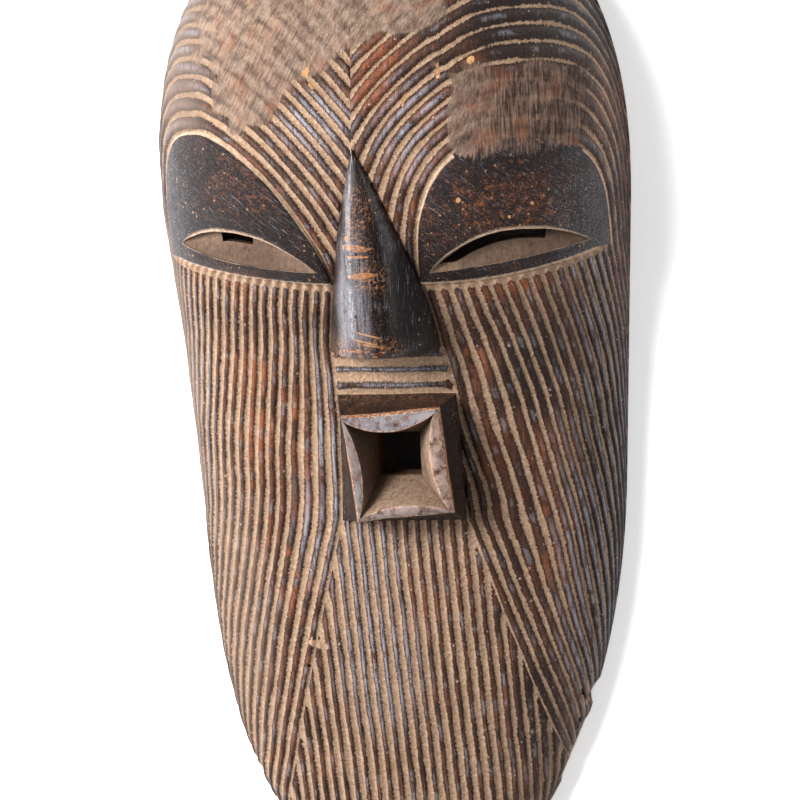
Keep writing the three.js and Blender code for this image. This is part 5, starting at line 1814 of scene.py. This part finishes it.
# %% Eye fields: the clay
share = less(tree, 0.62, times(tree, smooth_step(tree, 0.1, 0.5, scrape), 0.8))
band = math_node(tree, "MINIMUM", from_border, 0.5)
border = {"Place": place, "Phase": band, "Along": 0.0, "Share": share, "Feather": 0.1}
border_clay = place_group(tree, clay_group, border).outputs["Clay"]
lid_edge = smooth_step(tree, 0.955, 0.99, swing(tree, stipple, 0.06, to_lid))
foot_edge = smooth_step(tree, 0.4, 0.7, swing(tree, stipple, 1.2, attribute(tree, "foot_clay")))
clay_on = stronger(tree, stronger(tree, border_clay, times(tree, lid_edge, 0.85)), foot_edge)
lumps = noise_node(tree, place, 520.0, 5.0, 0.72)
clay_colour = blend_colour(tree, smooth_step(tree, 0.25, 0.62, lumps), CLAY_DARK, CLAY_LIGHT)
colour = blend_colour(tree, clay_on, wood, clay_colour)
roughness = times_plus(tree, clay_on, 0.45, 0.42)
height = times_plus(tree, stipple, 0.9, times(tree, clay_on, lumps))
finish_material(tree, shader, colour, roughness, height, 0.0008)

# %% [markdown]
# ### Nose
#
# The nose stands out furthest, so hands have polished it: a thin uneven glaze over black wood, worn to orange
# in bands on its back and round its tip, with a painted grey highlight down its front. The glaze is the
# shader's coat, weighted by a noise and left out where grime and painted shade lie, which keeps the right
# flank dull and dark.

# %% Nose
tree, shader, place = start_material("nose_wood")
# painted highlight down the front, and grime with painted shade on the right flank
painted_highlight, grime_and_shade = attribute(tree, "painted_highlight"), attribute(tree, "grime_and_shade")
wood, fibre = dark_wood(tree, place, times(tree, painted_highlight, 0.75))
grain = noise_node(tree, place, 1200.0, 3.0, 0.7)
# away from the painted highlight the wood turns blacker
off_highlight = less(tree, 1.0, times(tree, painted_highlight, 0.5))
wood = blend_colour(tree, times(tree, smooth_step(tree, 0.74, 0.5, grain), off_highlight), wood, RIDGE_BLACK)
flecks = smooth_step(tree, 0.5, 0.6, noise_node(tree, place, 520.0, 4.0, 0.75))
broken_up = smooth_step(tree, 0.38, 0.56, noise_node(tree, place, 700.0, 5.0, 0.8))
bands = times(tree, marks(tree, place, NOSE_BANDS), broken_up)
worn = stronger(tree, times(tree, attribute(tree, "wear"), flecks), bands)
worn_colour = blend_colour(tree, smooth_step(tree, 0.45, 0.62, grain), WORN_ORANGE, RAW_WOOD)
hairs = place_group(tree, fibre_group, {"Place": place, "Size": 1.6}).outputs["Fibre"]
wood = lay_over(tree, wood, smooth_step(tree, 0.56, 0.68, hairs), 0.35, HIGHLIGHT_AND_SCRATCH_GREY)
colour = lay_over(tree, wood, worn, 0.75, worn_colour)
specks = place_group(tree, speck_group, {"Place": place, "Scale": 330.0, "Share": 0.14}).outputs[0]
colour = lay_over(tree, colour, stronger(tree, specks, marks(tree, place, NOSE_SCRATCHES)), 0.6, RAW_WOOD)
colour = blend_colour(tree, marks(tree, place, NOSE_HOLES), colour, RIDGE_BLACK)
roughness = times_plus(tree, worn, 0.2, times_plus(tree, grain, 0.3, 0.16))
roughness = times_plus(tree, grime_and_shade, 0.4, roughness)
height = times_plus(tree, grain, 0.5, times(tree, fibre, 0.4))
finish_material(tree, shader, colour, roughness, height, 0.0004)
glaze = times(tree, smooth_step(tree, 0.3, 0.7, noise_node(tree, place, 420.0, 5.0, 0.75)), 0.6)
tree.links.new(times(tree, glaze, less(tree, 1.0, grime_and_shade)), shader.inputs["Coat Weight"])
shader.inputs["Coat Roughness"].default_value = 0.2

# %% [markdown]
# ### Lips and the box round the mouth
#
# The four leaf-shaped lips are rubbed grey with a painted highlight, each leaf in a tone of its own that is
# partly painted light and shade for its side of the box, with a tan worn edge. The walls of the box behind
# them are dark, painted darker as shade on all sides but the top. The sheets of the mouth carry the place
# round the box, from 0 at the top left clockwise to 4, and the place across: below 0 on the wall, 0 to 1
# across a leaf.

# %% Lips
# leaf tones: grey with painted highlight, a lighter warm tone for the right and bottom leaves, a painted
# shaded tone for the left
LIP_HIGHLIGHT_GREY = rgb(138, 132, 136)
LIP_WARM_LIT = rgb(184, 156, 142)
LIP_SHADED = rgb(112, 106, 106)
tree, shader, place = start_material("lip_wood")
across, round_box = line_map(tree)
wood, fibre = dark_wood(tree, place, 0.0)
right_leaf = smooth_step(tree, 0.98, 1.02, round_box)
foot_leaf = smooth_step(tree, 1.98, 2.02, round_box)
left_leaf = smooth_step(tree, 2.98, 3.02, round_box)
# the tone of each leaf partly paints the light and shade on its side of the box
warmth_and_light = less(tree, right_leaf, times(tree, foot_leaf, 0.5))
warmth_and_light = math_node(tree, "SUBTRACT", warmth_and_light, left_leaf, clamp=True)
leaf_colour = blend_colour(tree, warmth_and_light, LIP_HIGHLIGHT_GREY, LIP_WARM_LIT)
leaf_colour = blend_colour(tree, left_leaf, leaf_colour, LIP_SHADED)
mottle = noise_node(tree, place, 190.0, 5.0, 0.7)
rubbed_highlight = times(tree, smooth_step(tree, 0.3, 0.6, mottle), smooth_step(tree, 0.02, 0.1, across))
colour = lay_over(tree, wood, rubbed_highlight, 0.85, leaf_colour)
flecks = noise_node(tree, place, 700.0, 4.0, 0.7)
from_middle = math_node(tree, "ABSOLUTE", less(tree, across, 0.5))
rim = smooth_step(tree, 0.4, 0.47, swing(tree, flecks, 0.5, from_middle))
worn = times(tree, rim, math_node(tree, "GREATER_THAN", across, -0.12))
tan_edge = blend_colour(tree, smooth_step(tree, 0.45, 0.6, flecks), WORN_ORANGE, CLAY_LIGHT)
colour = lay_over(tree, colour, worn, 0.65, tan_edge)
wall = smooth_step(tree, -0.08, -0.2, across)
# painted shade: the box's walls are darkened, the top wall less than the others
colour = lay_over(tree, colour, wall, times_plus(tree, right_leaf, 0.32, 0.6), RIDGE_BLACK)
dusty = times(tree, smooth_step(tree, 0.5, 0.62, flecks), smooth_step(tree, -0.3, -0.8, across))
colour = lay_over(tree, colour, dusty, 0.4, CLAY_DARK)
roughness = times_plus(tree, flecks, 0.35, 0.28)
height = times_plus(tree, flecks, 0.7, times(tree, fibre, 0.4))
finish_material(tree, shader, colour, roughness, height, 0.0006)

# %% [markdown]
# ### Clay floors
#
# The sloping floors of the eyes and the funnel of the mouth are cut deep, so clay covers them whole. It is
# streaky from the knife under it, and darker in the corners that no light reaches.

# %% Clay floors of the eyes and the funnel
FLOOR_PALE = rgb(158, 132, 110)
FLOOR_MID = rgb(130, 106, 88)
FLOOR_DARK = rgb(84, 64, 54)
tree, shader, place = start_material("clay_floor")
fibre = place_group(tree, fibre_group, {"Place": place, "Size": 0.8}).outputs["Fibre"]
lumps = noise_node(tree, place, 420.0, 5.0, 0.68)
streaky = swing(tree, fibre, 0.5, lumps)
colour = blend_colour(tree, smooth_step(tree, 0.24, 0.42, streaky), FLOOR_DARK, FLOOR_MID)
colour = blend_colour(tree, smooth_step(tree, 0.4, 0.7, streaky), colour, FLOOR_PALE)
colour = lay_over(tree, colour, attribute(tree, "shade"), 0.85, RIDGE_DARK)
roughness = times_plus(tree, lumps, 0.2, 0.75)
finish_material(tree, shader, colour, roughness, streaky, 0.0008)

# %% [markdown]
# ### Inside and rim
#
# The photograph doesn't show the inside. It is finished in keeping and plainer: unstained wood with dull
# fibres, and the shallow scoops that an adze leaves, made by a soft cell texture.

# %% Inside and rim
INNER_PALE = rgb(118, 88, 66)
INNER_DARK = rgb(66, 48, 38)
ADZE_SCALE = 55.0
tree, shader, place = start_material("inner_wood")
wood = place_group(tree, fibre_group, {"Place": place, "Size": 0.6})
fibre, patchy = wood.outputs["Fibre"], wood.outputs["Patch"]
adze = put_node(tree, "ShaderNodeTexVoronoi", {"Vector": place, "Scale": ADZE_SCALE}, feature="SMOOTH_F1")
colour = blend_colour(tree, smooth_step(tree, 0.35, 0.65, fibre), INNER_DARK, INNER_PALE)
colour = lay_over(tree, colour, patchy, 0.5, RIDGE_DARK)
roughness = times_plus(tree, fibre, 0.2, 0.7)
height = times_plus(tree, adze.outputs["Distance"], 3.0, fibre)
finish_material(tree, shader, colour, roughness, height, 0.001)

# %% [markdown]
# ## The finished mask
#
# The faces already know their finish by number, so the materials only have to be put in that order. Edges
# sharper than a carved ridge are marked sharp. The mask rides on the part's only body and takes the place of
# the measured solid.

# %% Put the finishes on the mask
SHARP_EDGE = math.radians(62)
for name in MATERIAL_ORDER:
    mask_mesh.materials.append(bpy.data.materials[name])
mask_mesh.set_sharp_from_angle(angle=SHARP_EDGE)
carved_mask = bpy.data.objects.new("carved_mask", mask_mesh)
bpy.context.scene.collection.objects.link(carved_mask)
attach(carved_mask, "root")
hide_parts("mask")
print("materials:", [m.name for m in mask_mesh.materials])

# %% [markdown]
# ## Floor, light and camera
#
# The photograph is taken from in front of the upright mask. The mask lies here, so the same view is from
# above: the camera leans a little towards the crown and to the right of the picture, as the photograph's
# perspective shows. Roll is the small turn of the mask in the picture.

# %% Camera
VIEW_YAW = math.radians(12.27)
VIEW_PITCH = math.radians(10.0)
VIEW_ROLL = math.radians(2.75)
VIEW_DISTANCE = 1.5
VIEW_TARGET = Vector((0.00475, 0.00633, 0.05))
FRAME_PIXELS = 800
METRES_PER_PIXEL = 0.00053
SENSOR_WIDTH = 36.0
away = Vector(
    (
        math.sin(VIEW_YAW) * math.cos(VIEW_PITCH),
        math.sin(VIEW_PITCH),
        math.cos(VIEW_YAW) * math.cos(VIEW_PITCH),
    )
)
level_right = Vector((0, 1, 0)).cross(away).normalized()
level_up = away.cross(level_right)
frame_right = level_right * math.cos(VIEW_ROLL) - level_up * math.sin(VIEW_ROLL)
frame_up = level_right * math.sin(VIEW_ROLL) + level_up * math.cos(VIEW_ROLL)
camera_data = bpy.data.cameras.new("camera")
camera_data.sensor_width = SENSOR_WIDTH
camera_data.lens = SENSOR_WIDTH * VIEW_DISTANCE / (METRES_PER_PIXEL * FRAME_PIXELS)
camera = bpy.data.objects.new("camera", camera_data)
bpy.context.scene.collection.objects.link(camera)
turn = Matrix((frame_right, frame_up, away)).transposed().to_4x4()
camera.matrix_world = Matrix.Translation(VIEW_TARGET + away * VIEW_DISTANCE) @ turn
bpy.context.scene.camera = camera
print("lens:", round(camera_data.lens, 1), "mm")

# %% [markdown]
# ### Lamps and the room
#
# The light in the photograph comes from a large soft lamp at the upper left, with pale walls all round. Three
# square lamps and a pale world give that. The world is darker straight overhead and to the right, where the
# photographer and the dark side of the room would be: without this the slits and the mouth would glow.

# %% Lamps and room
LAMP_AIM = Vector((0, 0, 0.05))
COOL_WHITE = (0.93, 0.96, 1.0)
ROOM_STRENGTH = 1.05


def soft_lamp(name, location, size, power, colour=(1, 1, 1)):
    data = bpy.data.lights.new(name, "AREA")
    data.shape = "SQUARE"
    data.size = size
    data.energy = power
    data.color = colour
    lamp = bpy.data.objects.new(name, data)
    lamp.location = location
    lamp.rotation_euler = (LAMP_AIM - Vector(location)).to_track_quat("-Z", "Y").to_euler()
    bpy.context.scene.collection.objects.link(lamp)


soft_lamp("key", (-0.75, 0.6, 1.3), 0.5, 44)
soft_lamp("left_side", (-1.3, 0.0, 0.6), 0.6, 20, COOL_WHITE)
soft_lamp("right_side", (1.3, 0.2, 0.5), 0.9, 5, COOL_WHITE)
world = bpy.data.worlds.new("pale_room")
world.use_nodes = True
tree = world.node_tree
sky = put_node(tree, "ShaderNodeTexCoord").outputs["Generated"]
direction = put_node(tree, "ShaderNodeSeparateXYZ", {0: sky}).outputs
to_right = smooth_step(tree, 0.0, 0.8, direction["X"])
overhead = smooth_step(tree, 0.5, 0.92, direction["Z"])
room = blend_colour(tree, to_right, (1, 1, 1, 1), (0.4, 0.4, 0.4, 1))
room = blend_colour(tree, overhead, room, (0.05, 0.05, 0.05, 1))
tree.links.new(room, tree.nodes["Background"].inputs["Color"])
tree.nodes["Background"].inputs["Strength"].default_value = ROOM_STRENGTH
bpy.context.scene.world = world
bpy.context.scene.view_settings.view_transform = "Standard"

# %% [markdown]
# ### Floor
#
# The mask lies on a plain pale floor. Outside an oval just inside the mask's own outline the floor glows a
# little, which keeps the shadow beside the mask as pale as in the photograph. Under the mask it doesn't
# glow, so that the holes stay dark.

# %% Floor
GLOW_HALF_SIZE = (0.12, 0.275, 1.0)
GLOW_STRENGTH = 0.4
floor_mesh = bpy.data.meshes.new("floor")
floor_build = bmesh.new()
bmesh.ops.create_grid(floor_build, x_segments=1, y_segments=1, size=3.0)
floor_build.to_mesh(floor_mesh)
floor_build.free()
floor = bpy.data.objects.new("floor", floor_mesh)
bpy.context.scene.collection.objects.link(floor)
floor_paint = bpy.data.materials.new("floor_paint")
floor_paint.use_nodes = True
tree = floor_paint.node_tree
floor_shader = tree.nodes["Principled BSDF"]
floor_shader.inputs["Base Color"].default_value = (0.93, 0.93, 0.93, 1)
floor_shader.inputs["Roughness"].default_value = 0.9
place = put_node(tree, "ShaderNodeTexCoord").outputs["Object"]
from_mask = vector_node(tree, "LENGTH", vector_node(tree, "DIVIDE", place, GLOW_HALF_SIZE))
glow = blend_colour(tree, smooth_step(tree, 0.9, 1.0, from_mask), (0, 0, 0, 1), (1, 1, 1, 1))
tree.links.new(glow, floor_shader.inputs["Emission Color"])
floor_shader.inputs["Emission Strength"].default_value = GLOW_STRENGTH
floor_mesh.materials.append(floor_paint)
print("floor:", [round(v, 2) for v in floor.dimensions], "metres")
